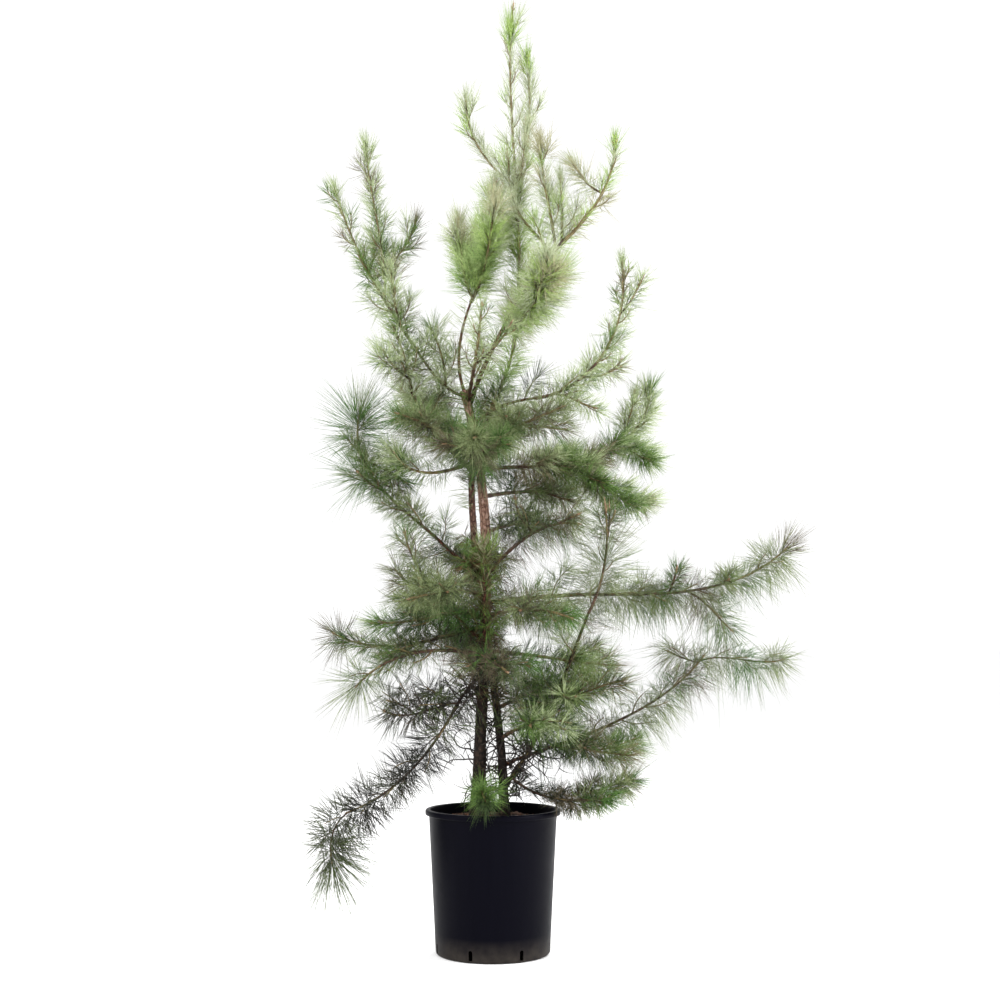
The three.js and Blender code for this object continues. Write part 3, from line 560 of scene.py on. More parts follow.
def add_object(name, data):
    """Puts a mesh, lamp or camera in the scene as an object at the origin."""
    piece = bpy.data.objects.new(name, data)
    bpy.context.scene.collection.objects.link(piece)
    return piece


def mesh_from_arrays(name, vertices, triangles, slots, materials):
    """A mesh from arrays of points, of triangles, and of each triangle's material."""
    if len(triangles) == 0:
        raise RuntimeError(f"{name} has no faces")
    mesh = bpy.data.meshes.new(name)
    mesh.vertices.add(len(vertices))
    mesh.vertices.foreach_set("co", np.asarray(vertices, np.float32).ravel())
    mesh.loops.add(triangles.size)
    mesh.loops.foreach_set("vertex_index", np.asarray(triangles, np.int32).ravel())
    mesh.polygons.add(len(triangles))
    mesh.polygons.foreach_set("loop_start", np.arange(0, triangles.size, 3, dtype=np.int32))
    mesh.polygons.foreach_set("material_index", np.asarray(slots, np.int32))
    mesh.polygons.foreach_set("use_smooth", np.ones(len(triangles), bool))
    for material in materials:
        mesh.materials.append(material)
    mesh.update(calc_edges=True)
    mesh.validate()
    return mesh


class Pile:
    """Gathers many small meshes into one."""

    def __init__(self):
        self.vertices = []
        self.triangles = []
        self.slots = []
        self.values = []
        self.count = 0

    def add(self, vertices, triangles, slot=0, values=None):
        """Adds a mesh, with one slot or one for each triangle, and a value for each point."""
        self.vertices.append(vertices)
        self.triangles.append(triangles + self.count)
        self.slots.append(np.full(len(triangles), slot) if np.isscalar(slot) else slot)
        self.values.append(np.zeros(len(vertices)) if values is None else values)
        self.count += len(vertices)

    def piece(self, name, materials, attribute=None):
        """The gathered mesh as an object, with the values under the attribute's name."""
        mesh = mesh_from_arrays(name, np.concatenate(self.vertices),
                                np.concatenate(self.triangles),
                                np.concatenate(self.slots), materials)
        if attribute:
            layer = mesh.attributes.new(attribute, "FLOAT", "POINT")
            layer.data.foreach_set("value", np.concatenate(self.values).astype(np.float32))
        return add_object(name, mesh)


def grid_triangles(rings, sides):
    """The triangles between rings of points that close on themselves."""
    ring, side = np.meshgrid(np.arange(rings - 1), np.arange(sides), indexing="ij")
    a = ring * sides + side
    b = ring * sides + (side + 1) % sides
    c, d = a + sides, b + sides
    quads = np.stack([a, b, d, a, d, c], axis=-1)
    return quads.reshape(-1, 3)


def cap_triangles(sides, first, centre, up):
    """A fan that closes one ring of points."""
    side = np.arange(sides)
    a = first + side
    b = first + (side + 1) % sides
    middle = np.full(sides, centre)
    return np.stack([middle, a, b] if up else [middle, b, a], axis=-1)


def closed_triangles(rings, sides, flip=False):
    """The triangles of rings whose two end points come after them."""
    total = rings * sides
    body = grid_triangles(rings, sides)
    return np.vstack([
        body[:, ::-1] if flip else body,
        cap_triangles(sides, 0, total, flip),
        cap_triangles(sides, total - sides, total + 1, not flip),
    ])


def tube(points, tangents, sides_at, radii, sides):
    """A closed tube with a radius for every ring, or for every point of every ring."""
    angles = np.linspace(0, 2 * np.pi, sides, endpoint=False)
    across = np.cross(tangents, sides_at)
    around = (sides_at[:, None] * np.cos(angles)[None, :, None]
              + across[:, None] * np.sin(angles)[None, :, None])
    radii = np.asarray(radii)
    if radii.ndim == 1:
        radii = np.repeat(radii[:, None], sides, axis=1)
    rings = points[:, None] + around * radii[:, :, None]
    vertices = np.vstack([rings.reshape(-1, 3), points[:1], points[-1:]])
    return vertices, closed_triangles(len(points), sides)


def path_rings(path, spacing):
    """Points, directions and sides at even spacing along a path."""
    count = max(3, round(path.length / spacing) + 1)
    t = np.linspace(0, 1, count)
    points, tangents = path.at(t)
    sides = path.pick(path.sides, t)
    sides = unit(sides - tangents * np.sum(sides * tangents, axis=-1, keepdims=True))
    return t, points, tangents, sides


# ---------------------------------------------------------------- materials


def colour(code):
    """A linear RGBA colour from an sRGB hex value."""
    channels = [int(code[i:i + 2], 16) / 255 for i in (1, 3, 5)]
    linear = [c / 12.92 if c <= 0.04045 else ((c + 0.055) / 1.055) ** 2.4 for c in channels]
    return (*linear, 1.0)


def add_node(tree, kind, inputs=None, **settings):
    """Adds a node. An input is a value, or another node's output to link."""
    node = tree.nodes.new(kind)
    for name, value in settings.items():
        setattr(node, name, value)
    for name, value in (inputs or {}).items():
        if isinstance(value, bpy.types.NodeSocket):
            tree.links.new(value, node.inputs[name])
        else:
            node.inputs[name].default_value = value
    return node


def new_material(name, roughness, **sockets):
    """A material with one Principled shader, its even values set on its sockets."""
    material = bpy.data.materials.new(name)
    material.use_nodes = True
    tree = material.node_tree
    tree.nodes.clear()
    shader = add_node(tree, "ShaderNodeBsdfPrincipled", {"Roughness": roughness})
    for socket, value in sockets.items():
        shader.inputs[socket.replace("_", " ")].default_value = value
    add_node(tree, "ShaderNodeOutputMaterial", {"Surface": shader.outputs["BSDF"]})
    return material, tree, shader


def ramp(tree, factor, stops):
    """A colour ramp through (place, hex colour) stops."""
    node = add_node(tree, "ShaderNodeValToRGB", {"Fac": factor})
    elements = node.color_ramp.elements
    elements[0].position, elements[0].color = stops[0][0], colour(stops[0][1])
    elements[1].position, elements[1].color = stops[-1][0], colour(stops[-1][1])
    for place, code in stops[1:-1]:
        elements.new(place).color = colour(code)
    return node.outputs["Color"]


def object_noise(tree, size, detail=3.0, stretch=(1, 1, 1)):
    """Noise over Object coordinates, its grain size in millimetres."""
    spot = add_node(tree, "ShaderNodeTexCoord").outputs["Object"]
    spot = add_node(tree, "ShaderNodeMapping", {"Vector": spot, "Scale": stretch})
    noise = add_node(tree, "ShaderNodeTexNoise",
                     {"Vector": spot.outputs["Vector"], "Scale": 1 / (size * MM), "Detail": detail})
    return noise.outputs["Fac"]


def add_bump(tree, shader, height, depth):
    """Bumps on a shader's surface, their depth in millimetres."""
    bump = add_node(tree, "ShaderNodeBump", {"Height": height, "Distance": depth * MM})
    tree.links.new(bump.outputs["Normal"], shader.inputs["Normal"])


def blend(tree, factor, first, second):
    """Mixes two colours."""
    node = add_node(tree, "ShaderNodeMix", {0: factor, 6: first, 7: second}, data_type="RGBA")
    return node.outputs[2]


def object_height(tree):
    """The height above the ground at each point of the surface."""
    spot = add_node(tree, "ShaderNodeTexCoord").outputs["Object"]
    return add_node(tree, "ShaderNodeSeparateXYZ", {"Vector": spot}).outputs["Z"]


def spread_over(tree, value, low, high):
    """0 where a value is low, 1 where it is high."""
    node = add_node(tree, "ShaderNodeMapRange", {"Value": value, "From Min": low, "From Max": high})
    return node.outputs["Result"]


def times(tree, first, second):
    """The product of two values."""
    node = add_node(tree, "ShaderNodeMath", {0: first, 1: second}, operation="MULTIPLY")
    return node.outputs["Value"]


def moulded_polypropylene(looks):
    """Blow-moulded black polypropylene: a soft sheen, faint flow streaks and dust low down.

    The mould's grain is near 0.3 mm, and is drawn at 1.6 mm so that it shows.
    """
    material, tree, shader = new_material("black_polypropylene_moulded", 0.4,
                                          Specular_IOR_Level=0.045,
                                          Specular_Tint=(0.86, 0.84, 1.0, 1.0))
    streaks = object_noise(tree, 12, 3, (1, 1, 0.05))
    body = blend(tree, streaks, (*looks.colour, 1), colour("#05050c"))
    near_ground = spread_over(tree, object_height(tree), 50 * MM, 0.0)
    dust = times(tree, times(tree, near_ground, object_noise(tree, 20, 5)), 0.35)
    dusted = blend(tree, dust, body, colour("#6d655a"))
    tree.links.new(dusted, shader.inputs["Base Color"])
    rough = add_node(tree, "ShaderNodeMapRange",
                     {"Value": object_noise(tree, 30, 4), "To Min": 0.34, "To Max": 0.5})
    tree.links.new(rough.outputs["Result"], shader.inputs["Roughness"])
    add_bump(tree, shader, object_noise(tree, 1.6, 2), 0.08)
    return material


def composted_mix():
    """Composted bark and peat: dark, crumbly and matt, a little lighter where it dried.

    Its tone changes over clods of 11 mm, and its grit is 2.5 mm.
    """
    material, tree, shader = new_material("potting_mix_composted_bark", 0.95,
                                          Specular_IOR_Level=0.2)
    tone = ramp(tree, object_noise(tree, 11, 6),
                [(0.32, "#1d130d"), (0.5, "#38261a"), (0.68, "#5e4330")])
    tree.links.new(tone, shader.inputs["Base Color"])
    add_bump(tree, shader, object_noise(tree, 2.5, 5), 1.2)
    return material


def bark_chip():
    """Pine bark chips: red-brown and fibrous, split along the grain.

    The fibres are near 0.3 mm, and are drawn at 1.2 mm so that they show.
    """
    material, tree, shader = new_material("pine_bark_chip", 0.85, Specular_IOR_Level=0.25)
    tone = ramp(tree, object_noise(tree, 7, 4),
                [(0.3, "#2a180f"), (0.55, "#583523"), (0.75, "#805538")])
    tree.links.new(tone, shader.inputs["Base Color"])
    add_bump(tree, shader, object_noise(tree, 1.2, 3, (1, 1, 5)), 0.5)
    return material


BARK_STEPS = (0.02, 0.16, 0.42)  # where cracks, plates and ridges have their own colour
LOWER_BARK = (0.82, 0.6)  # metres: the lower colours begin at the first and are full at the second


def scaly_bark(name, cracks, plates, ridges, lower=None):
    """Young pine bark: dark in its cracks, paler on the plates, worn grey on the ridges.

    The attribute relief, 0 in a crack and 1 on a plate, comes with the mesh. The layers of
    a plate are near 0.5 mm, and are drawn at 2.2 mm so that they show.
    """
    material, tree, shader = new_material(name, 0.86, Specular_IOR_Level=0.25)
    relief = add_node(tree, "ShaderNodeAttribute", attribute_name="relief").outputs["Fac"]
    rubbed = times(tree, relief, object_noise(tree, 6, 5, (1, 1, 0.4)))
    tone = ramp(tree, rubbed, list(zip(BARK_STEPS, (cracks, plates, ridges))))
    if lower:
        dark = ramp(tree, rubbed, list(zip(BARK_STEPS, lower)))
        tone = blend(tree, spread_over(tree, object_height(tree), *LOWER_BARK), tone, dark)
    tree.links.new(tone, shader.inputs["Base Color"])
    add_bump(tree, shader, object_noise(tree, 2.2, 4, (1, 1, 0.5)), 0.5)
    return material


def twig_bark(name, low, high):
    """Skin of a young shoot: thin, still a little glossy, ridged by the needles' feet.

    The ridges stand 1.8 mm apart, as the bundles do.
    """
    material, tree, shader = new_material(name, 0.65, Specular_IOR_Level=0.35)
    tone = ramp(tree, object_noise(tree, 9, 3), [(0.3, low), (0.7, high)])
    tree.links.new(tone, shader.inputs["Base Color"])
    add_bump(tree, shader, object_noise(tree, 1.8, 2), 0.4)
    return material


def needle_skin(name, dark, light):
    """Needle cuticle: waxy, with a narrow soft highlight along the needle.

    Its tone drifts over 5 mm, as light and shade do between neighbouring needles.
    """
    material, tree, shader = new_material(name, 0.5, Specular_IOR_Level=0.2)
    tone = ramp(tree, object_noise(tree, 5, 1), [(0.34, dark), (0.66, light)])
    tree.links.new(tone, shader.inputs["Base Color"])
    return material


def bud_scales():
    """Papery bud scales with a thin coat of resin: pinkish brown, lighter at the edges.

    A scale is near 3 mm long, with an edge of half that.
    """
    material, tree, shader = new_material("bud_scales_resinous", 0.5, Coat_Weight=0.15)
    tone = ramp(tree, object_noise(tree, 3, 3, (1, 1, 0.5)),
                [(0.3, "#5c3f2c"), (0.5, "#8a6a4e"), (0.72, "#b49c78")])
    tree.links.new(tone, shader.inputs["Base Color"])
    add_bump(tree, shader, object_noise(tree, 1.4, 2), 0.4)
    return material


# ---------------------------------------------------------------- pot and potting mix

POT = {
    "lip_height": 12,
    "lip_overhang": 8,
    "lip_roundings": (2.4, 4.5, 2.5),  # under it, outside and inside
    "neck_rounding": 1.5,
    "base_radius": 124.5,
    "base_rounding": 7,
    "wall": 2.6,
    "floor": 4,
    "floor_rounding": 5,
    "slots": 7,
    "first_slot": -112,  # plan angle of the slot left of the front
    "slot_width": 9,
    "slot_height": 22,
    "slot_cut": 15,  # how far it is cut to either side of the base's radius
    "foot_ring": 9,  # width of the ring that the pot stands on
    "foot_recess": 1.5,
}
POT_SEGMENTS = 144
SHARP_ANGLE = 38  # an edge that turns more is left crisp


def arc(centre, radius, first, last, steps=6):
    """Points of a profile along an arc, in degrees."""
    angles = np.radians(np.linspace(first, last, steps + 1))
    return [(centre[0] + radius * math.cos(a), centre[1] + radius * math.sin(a)) for a in angles]


def inner_radius(looks, z):
    """Radius of the wall's inside at a height, in millimetres."""
    shoulder = looks.rim_radius / MM - POT["lip_overhang"]
    straight = looks.height / MM - POT["lip_height"] - POT["base_rounding"]
    t = np.clip((z - POT["base_rounding"]) / straight, 0, 1)
    return mix(POT["base_radius"], shoulder, t) - POT["wall"]


def pot_profile(looks):
    """Half section of the pot, up the outside, over the rolled lip and down the inside."""
    rim = looks.rim_radius / MM
    height = looks.height / MM
    shoulder = rim - POT["lip_overhang"]
    under_lip = height - POT["lip_height"]
    base = POT["base_radius"]
    heel = POT["base_rounding"]
    neck = POT["neck_rounding"]
    under, outside, inside = POT["lip_roundings"]
    floor = POT["floor"]
    corner = POT["floor_rounding"]
    recess = POT["foot_recess"]
    ring = base - heel - POT["foot_ring"]
    profile = [(0, recess), (ring - 2, recess), (ring, 0)]
    profile += arc((base - heel, heel), heel, -90, 0)
    for t in np.linspace(0.04, 0.96, 22):
        profile.append((mix(base, shoulder, t), mix(heel, under_lip, t)))
    profile += arc((shoulder + neck, under_lip - neck), neck, 180, 90, 3)
    profile += arc((rim - under, under_lip + under), under, -90, 0, 4)
    profile += arc((rim - outside, height - outside), outside, 0, 90, 6)
    profile += arc((shoulder - POT["wall"] + inside, height - inside), inside, 90, 180, 4)
    for z in np.linspace(under_lip, floor + corner + 1, 10):
        profile.append((inner_radius(looks, z), z))
    profile += arc((inner_radius(looks, floor) - corner, floor + corner), corner, 0, -90, 3)
    profile.append((0, floor))
    return np.array(profile) * MM


def turned(profile, segments):
    """A closed solid turned from a profile that starts and ends on the axis."""
    angles = np.linspace(0, 2 * np.pi, segments, endpoint=False)
    body = profile[1:-1]
    rings = np.stack([
        body[:, 0][:, None] * np.cos(angles),
        body[:, 0][:, None] * np.sin(angles),
        np.repeat(body[:, 1][:, None], segments, axis=1),
    ], axis=-1)
    poles = np.array([[0, 0, profile[0][1]], [0, 0, profile[-1][1]]])
    vertices = np.vstack([rings.reshape(-1, 3), poles])
    return vertices, closed_triangles(len(body), segments)


def slot_cutters():
    """The boxes, with rounded tops, that cut the drainage slots through wall and floor."""
    pile = Pile()
    half = POT["slot_width"] / 2
    low, high = POT["floor"] + 1, POT["floor"] + POT["slot_height"] + 1
    outline = [(-half, low), (half, low)] + arc((0, high - half), half, 0, 180, 8)
    reaches = (POT["base_radius"] - POT["slot_cut"], POT["base_radius"] + POT["slot_cut"])
    for i in range(POT["slots"]):
        angle = math.radians(POT["first_slot"] + 360 / POT["slots"] * i)
        outward = np.array([math.cos(angle), math.sin(angle), 0])
        across = np.array([-outward[1], outward[0], 0])
        ends = []
        for reach in reaches:
            ends.append([outward * reach + across * x + np.array([0, 0, z]) for x, z in outline])
        middles = [np.mean(end, axis=0) for end in ends]
        pile.add(np.vstack(ends + [middles]) * MM, closed_triangles(2, len(outline)))
    return pile.piece("slot_cutters", [])


def bake_modifiers(piece):
    """Turns a piece's modifiers into its mesh."""
    depsgraph = bpy.context.evaluated_depsgraph_get()
    mesh = bpy.data.meshes.new_from_object(piece.evaluated_get(depsgraph))
    piece.modifiers.clear()
    piece.data = mesh


def remove_object(piece):
    """Takes a helper shape out of the scene."""
    bpy.data.objects.remove(piece, do_unlink=True)


def make_pot(looks):
    """The pot, turned from its profile and cut by the slots."""
    pile = Pile()
    pile.add(*turned(pot_profile(looks), POT_SEGMENTS))
    pot = pile.piece("moulded_pot", [moulded_polypropylene(looks)])
    cutters = slot_cutters()
    cut = pot.modifiers.new("slots", "BOOLEAN")
    cut.object = cutters
    cut.solver = "EXACT"
    bake_modifiers(pot)
    remove_object(cutters)
    pot.data.set_sharp_from_angle(angle=math.radians(SHARP_ANGLE))
    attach(pot, "root")
    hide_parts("pot")


MIX = {
    "rings": 60,
    "segments": 180,
    "gap": 0.3,  # between the mix and the pot's wall
    "sag": 5,  # how far it has settled toward the wall
    "mound": 9,  # how far it stands up inside its edge
    "skirt": 25,  # depth of its hidden side
    "lumps": ((60, 1.6), (24, 1.2), (11, 0.8), (6, 0.45)),  # length and height of each size
    "waves": 5,  # that make up the lumps of one size
}


def lumpy(x, y, rng):
    """The heights of lumps of several sizes, made of waves that run in random directions."""
    bumps = np.zeros_like(x)
    for size, depth in MIX["lumps"]:
        for _ in range(MIX["waves"]):
            way = rng.uniform(0, 2 * np.pi)
            phase = rng.uniform(0, 2 * np.pi)
            wave = (x * math.cos(way) + y * math.sin(way)) * 2 * np.pi / (size * MM)
            bumps += depth * MM / (MIX["waves"] / 2) * np.sin(wave + phase)
    return bumps


def make_mix():
    """The mix's surface: lumpy, mounded in the middle and settled toward the wall."""
    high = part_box("potting_mix")[1]
    rim = high.x - MIX["gap"] * MM
    bottom = high.z - MIX["skirt"] * MM
    rings, sides = MIX["rings"], MIX["segments"]
    radii = np.linspace(0, 1, rings + 1)[1:] * rim
    angles = np.linspace(0, 2 * np.pi, sides, endpoint=False)
    x = radii[:, None] * np.cos(angles)
    y = radii[:, None] * np.sin(angles)
    sag = MIX["sag"] * MM * smooth((radii / rim - 0.4) / 0.6)[:, None]
    mound = MIX["mound"] * MM * smooth((1 - radii / rim) / 0.25)[:, None]
    z = high.z - sag + lumpy(x, y, np.random.default_rng(SEED + 1)) + mound
    top = np.stack([x, y, z], axis=-1).reshape(-1, 3)
    wall = top[-sides:] * [1, 1, 0] + [0, 0, bottom]
    poles = [[0, 0, z[0].mean()], [0, 0, bottom]]
    pile = Pile()
    pile.add(np.vstack([top, wall, poles]), closed_triangles(rings + 1, sides, flip=True))
    surface = pile.piece("potting_mix_surface", [composted_mix()])
    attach(surface, "root")
    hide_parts("potting_mix")
    return surface


# ---------------------------------------------------------------- scattered by nodes


SCATTER_INPUTS = [
    ("Geometry", "Geometry", None), ("Pieces", "Collection", None),
    ("Density", "Float", 1000.0), ("Smallest", "Float", 0.5), ("Largest", "Float", 1.0),
    ("Tilt", "Float", 0.3), ("Lowest", "Float", -10.0), ("Highest", "Float", 10.0),
    ("Reach", "Float", 10.0), ("Seed", "Int", 1), ("Material", "Material", None),
]


def scatter_sockets(tree):
    """Adds the tree's output and inputs, and gives each input's identifier by its name."""
    face = tree.interface
    face.new_socket("Geometry", in_out="OUTPUT", socket_type="NodeSocketGeometry")
    identifiers = {}
    for label, kind, default in SCATTER_INPUTS:
        socket = face.new_socket(label, in_out="INPUT", socket_type=f"NodeSocket{kind}")
        if default is not None:
            socket.default_value = default
        identifiers[label] = socket.identifier
    return identifiers


def spots_within(tree, given):
    """True between the lowest and highest levels, and within reach of the middle line."""
    place = add_node(tree, "GeometryNodeInputPosition").outputs["Position"]
    height = add_node(tree, "ShaderNodeSeparateXYZ", {"Vector": place}).outputs["Z"]
    level = add_node(tree, "ShaderNodeVectorMath", {0: place, 1: (1.0, 1.0, 0.0)},
                     operation="MULTIPLY").outputs["Vector"]
    outward = add_node(tree, "ShaderNodeVectorMath", {0: level},
                       operation="LENGTH").outputs["Value"]
    within = True
    for value, limit, operation in ((height, "Lowest", "GREATER_THAN"),
                                    (height, "Highest", "LESS_THAN"),
                                    (outward, "Reach", "LESS_THAN")):
        test = add_node(tree, "FunctionNodeCompare", {0: value, 1: given[limit]},
                        data_type="FLOAT", operation=operation).outputs["Result"]
        within = add_node(tree, "FunctionNodeBooleanMath", {0: within, 1: test})
        within = within.outputs["Boolean"]
    return within


def loose_turns(tree, given, upright):
    """Rotations that lean from upright by up to the tilt, and spin freely round."""
    minus = add_node(tree, "ShaderNodeMath", {0: 0.0, 1: given["Tilt"]}, operation="SUBTRACT")
    low = add_node(tree, "ShaderNodeCombineXYZ",
                   {"X": minus.outputs["Value"], "Y": minus.outputs["Value"], "Z": 0.0})
    high = add_node(tree, "ShaderNodeCombineXYZ",
                    {"X": given["Tilt"], "Y": given["Tilt"], "Z": 2 * math.pi})
    spin = add_node(tree, "FunctionNodeRandomValue",
                    {0: low.outputs["Vector"], 1: high.outputs["Vector"], "Seed": given["Seed"]},
                    data_type="FLOAT_VECTOR")
    turn = add_node(tree, "FunctionNodeEulerToRotation", {"Euler": spin.outputs["Value"]})
    turned_by = add_node(tree, "FunctionNodeRotateRotation",
                         {"Rotation": upright, "Rotate By": turn.outputs["Rotation"]},
                         rotation_space="LOCAL")
    return turned_by.outputs["Rotation"]


def scatter_tree(name):
    """Node tree that strews the objects of a collection over a surface.

    It ends in real meshes with one material, so nothing is left as an instance.
    """
    tree = bpy.data.node_groups.new(name, "GeometryNodeTree")
    tree.is_modifier = True
    identifiers = scatter_sockets(tree)
    given = add_node(tree, "NodeGroupInput").outputs
    points = add_node(tree, "GeometryNodeDistributePointsOnFaces",
                      {"Mesh": given["Geometry"], "Selection": spots_within(tree, given),
                       "Density": given["Density"], "Seed": given["Seed"]})
    pieces = add_node(tree, "GeometryNodeCollectionInfo",
                      {"Collection": given["Pieces"], "Separate Children": True,
                       "Reset Children": True})
    size = add_node(tree, "FunctionNodeRandomValue",
                    {2: given["Smallest"], 3: given["Largest"], "Seed": given["Seed"]},
                    data_type="FLOAT")
    strewn = add_node(tree, "GeometryNodeInstanceOnPoints",
                      {"Points": points.outputs["Points"],
                       "Instance": pieces.outputs["Instances"], "Pick Instance": True,
                       "Rotation": loose_turns(tree, given, points.outputs["Rotation"]),
                       "Scale": size.outputs[1]})
    real = add_node(tree, "GeometryNodeRealizeInstances",
                    {"Geometry": strewn.outputs["Instances"]})
    dressed = add_node(tree, "GeometryNodeSetMaterial",
                       {"Geometry": real.outputs["Geometry"], "Material": given["Material"]})
    add_node(tree, "NodeGroupOutput", {"Geometry": dressed.outputs["Geometry"]})
    return tree, identifiers


def strew(name, surface, shapes, material, **sizes):
    """Strews shapes over a copy of a surface and keeps them as a plain mesh."""
    tree, sockets = scatter_tree(name + "_nodes")
    collection = bpy.data.collections.new(name + "_shapes")
    bpy.context.scene.collection.children.link(collection)
    for shape in shapes:
        bpy.context.scene.collection.objects.unlink(shape)
        collection.objects.link(shape)
    piece = add_object(name, surface.data.copy())
    piece.data.materials.clear()
    modifier = piece.modifiers.new(name, "NODES")
    modifier.node_group = tree
    modifier[sockets["Pieces"]] = collection
    modifier[sockets["Material"]] = material
    for label, value in sizes.items():
        modifier[sockets[label]] = value
    bake_modifiers(piece)
    for shape in shapes:
        remove_object(shape)
    bpy.data.collections.remove(collection)
    if len(piece.data.polygons) == 0:
        raise RuntimeError(f"{name} is empty")
    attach(piece, "root")
    return piece


def lump(name, size, seed):
    """A rough chip with twenty faces, of a size in millimetres."""
    rng = np.random.default_rng(seed)
    golden = (1 + math.sqrt(5)) / 2
    corners = []
    for a in (-1, 1):
        for b in (-golden, golden):
            corners += [(0, a, b), (a, b, 0), (b, 0, a)]
    corners = unit(np.array(corners, float))
    mesh = bpy.data.meshes.new(name)
    hull = bmesh.new()
    for corner in corners * rng.uniform(0.72, 1.1, (len(corners), 1)):
        hull.verts.new(corner * np.array(size) * MM / 2)
    bmesh.ops.convex_hull(hull, input=hull.verts)
    hull.to_mesh(mesh)
    hull.free()
    return add_object(name, mesh)


CHIP_SIZES = [(16, 8, 4), (11, 7, 4), (20, 6, 3.5), (9, 8, 6), (7, 5, 4)]
CRUMB_SIZES = [(4, 3, 2), (3, 3, 3)]
CHIP_MARGIN = 11  # how far a chip's middle stays from the pot's wall
CRUMB_MARGIN = 3


def lumps(name, sizes, seed):
    """One rough chip of each size."""
    return [lump(name, size, seed + i) for i, size in enumerate(sizes)]


def make_chips(surface, looks):
    """Bark chips and crumbs lying on the mix, clear of the pot's wall."""
    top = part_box("potting_mix")[1]
    lowest = top.z - 12 * MM
    piece = strew("potting_mix_bark_chips", surface, lumps("chip", CHIP_SIZES, 40), bark_chip(),
                  Density=looks.chip_density, Smallest=0.35, Largest=1.0, Tilt=0.5,
                  Lowest=lowest, Reach=top.x - CHIP_MARGIN * MM, Seed=SEED)
    piece = strew("potting_mix_crumbs", surface, lumps("crumb", CRUMB_SIZES, 60),
                  composted_mix(), Density=looks.chip_density * 2.2, Smallest=0.5, Largest=1.3,
                  Tilt=1.0, Lowest=lowest, Reach=top.x - CRUMB_MARGIN * MM, Seed=SEED + 1)


# ---------------------------------------------------------------- bark

PLATE_WIDTH = 9
PLATE_HEIGHT = 15
FINE_PLATE_HEIGHT = 6
CRACK = 0.45  # width of a crack between plates, to a plate's
SCAR_SIZE = 2.6  # of the raised feet of old needles, and their spacing along a stem
SCAR_NEIGHBOURS = 21  # feet that stand side by side are at most so many places apart
ROUGH_RADIUS = 9  # of a stem that is scaly all over
STEM_SIDES = {"trunk": 64, "second_stem": 48}  # points round the bark of a stem
BOUGH_SIDES = 24
STEM_RINGS = 3.2  # spacing of the rings of points along the bark
BOUGH_RINGS = 3.4


def plates(turn, along, columns, height, seed):
    """Cells of bark on a stem: 0 at a crack rising to 1 inside, and one number a cell."""
    rng = np.random.default_rng(seed)
    row = along / height
    rows = int(row.max()) + 4
    jitter = rng.random((rows, columns, 3))
    x = (turn / (2 * np.pi)) % 1 * columns
    y = row + 1
    column_of = np.floor(x).astype(int)
    row_of = np.floor(y).astype(int)
    nearest = np.full(x.shape, np.inf)
    second = np.full(x.shape, np.inf)
    own = np.zeros(x.shape)
    for dx in (-1, 0, 1):
        for dy in (-1, 0, 1):
            column = (column_of + dx) % columns
            line = np.clip(row_of + dy, 0, rows - 1)
            spot = jitter[line, column]
            far = np.hypot(column_of + dx + spot[..., 0] - x, line + spot[..., 1] - y)
            closer = far < nearest
            second = np.where(closer, nearest, np.minimum(second, far))
            own = np.where(closer, spot[..., 2], own)
            nearest = np.where(closer, far, nearest)
    return smooth((second - nearest) / CRACK), own


def scars(turn, along, radius, pitch, size):
    """Small raised feet of old needles, set round a stem by the golden angle."""
    step = np.round(along / pitch)
    height = np.zeros_like(along)
    for k in range(-SCAR_NEIGHBOURS, SCAR_NEIGHBOURS + 1):
        index = step + k
        around = (turn - np.radians(GOLDEN_ANGLE) * index + np.pi) % (2 * np.pi) - np.pi
        far = np.hypot(around * radius, (along - index * pitch) * 0.55)
        height = np.maximum(height, 1 - far / size)
    return smooth(height)


def bark_tube(limb, path, sides, spacing, relief):
    """A limb's closed mesh with its bark in relief, and the relief's value at each point."""
    t, points, tangents, side = path_rings(path, spacing)
    angles = np.linspace(0, 2 * np.pi, sides, endpoint=False)
    turn, along = np.meshgrid(angles, t * path.length)
    radius = np.tile(limb_radius(limb, t)[:, None], sides) * BARK_WIDTH.get(limb.name, 1)
    seed = SEED + len(limb.name)
    columns = max(5, round(2 * np.pi * radius.mean() / (PLATE_WIDTH * MM)))
    cells, own = plates(turn + along * 2.0, along, columns, PLATE_HEIGHT * MM, seed)
    fine, _ = plates(turn, along, columns * 2, FINE_PLATE_HEIGHT * MM, seed + 1)
    feet = scars(turn, along, radius, SCAR_SIZE * MM, SCAR_SIZE * MM)
    rough = smooth(radius / (ROUGH_RADIUS * MM) - 0.55)
    depth = relief * np.clip(radius / (14 * MM), 0.35, 1.25)
    height = mix(0.45 * feet, 0.62 * cells * (0.6 + 0.4 * own) + 0.28 * fine + 0.1 * feet, rough)
    # An uneven thickness all along, four root ridges at a stem's foot, a collar at a bough's.
    waves = 0.035 * np.sin(turn * 2 + along * 22 + seed) + 0.025 * np.sin(turn * 3 - along * 37)
    ridges = 0.16 * np.cos(turn * 4 + seed) * np.exp(-along / (28 * MM)) * (limb.flare > 0)
    collar = 0.35 * np.exp(-along / (7 * MM)) * (limb.flare == 0)
    radii = radius * (1 + waves + ridges + collar) + depth * (height - 0.45)
    vertices, triangles = tube(points, tangents, side, radii, sides)
    values = np.concatenate([height.ravel(), [0.5, 0.5]])
    return vertices, triangles, values


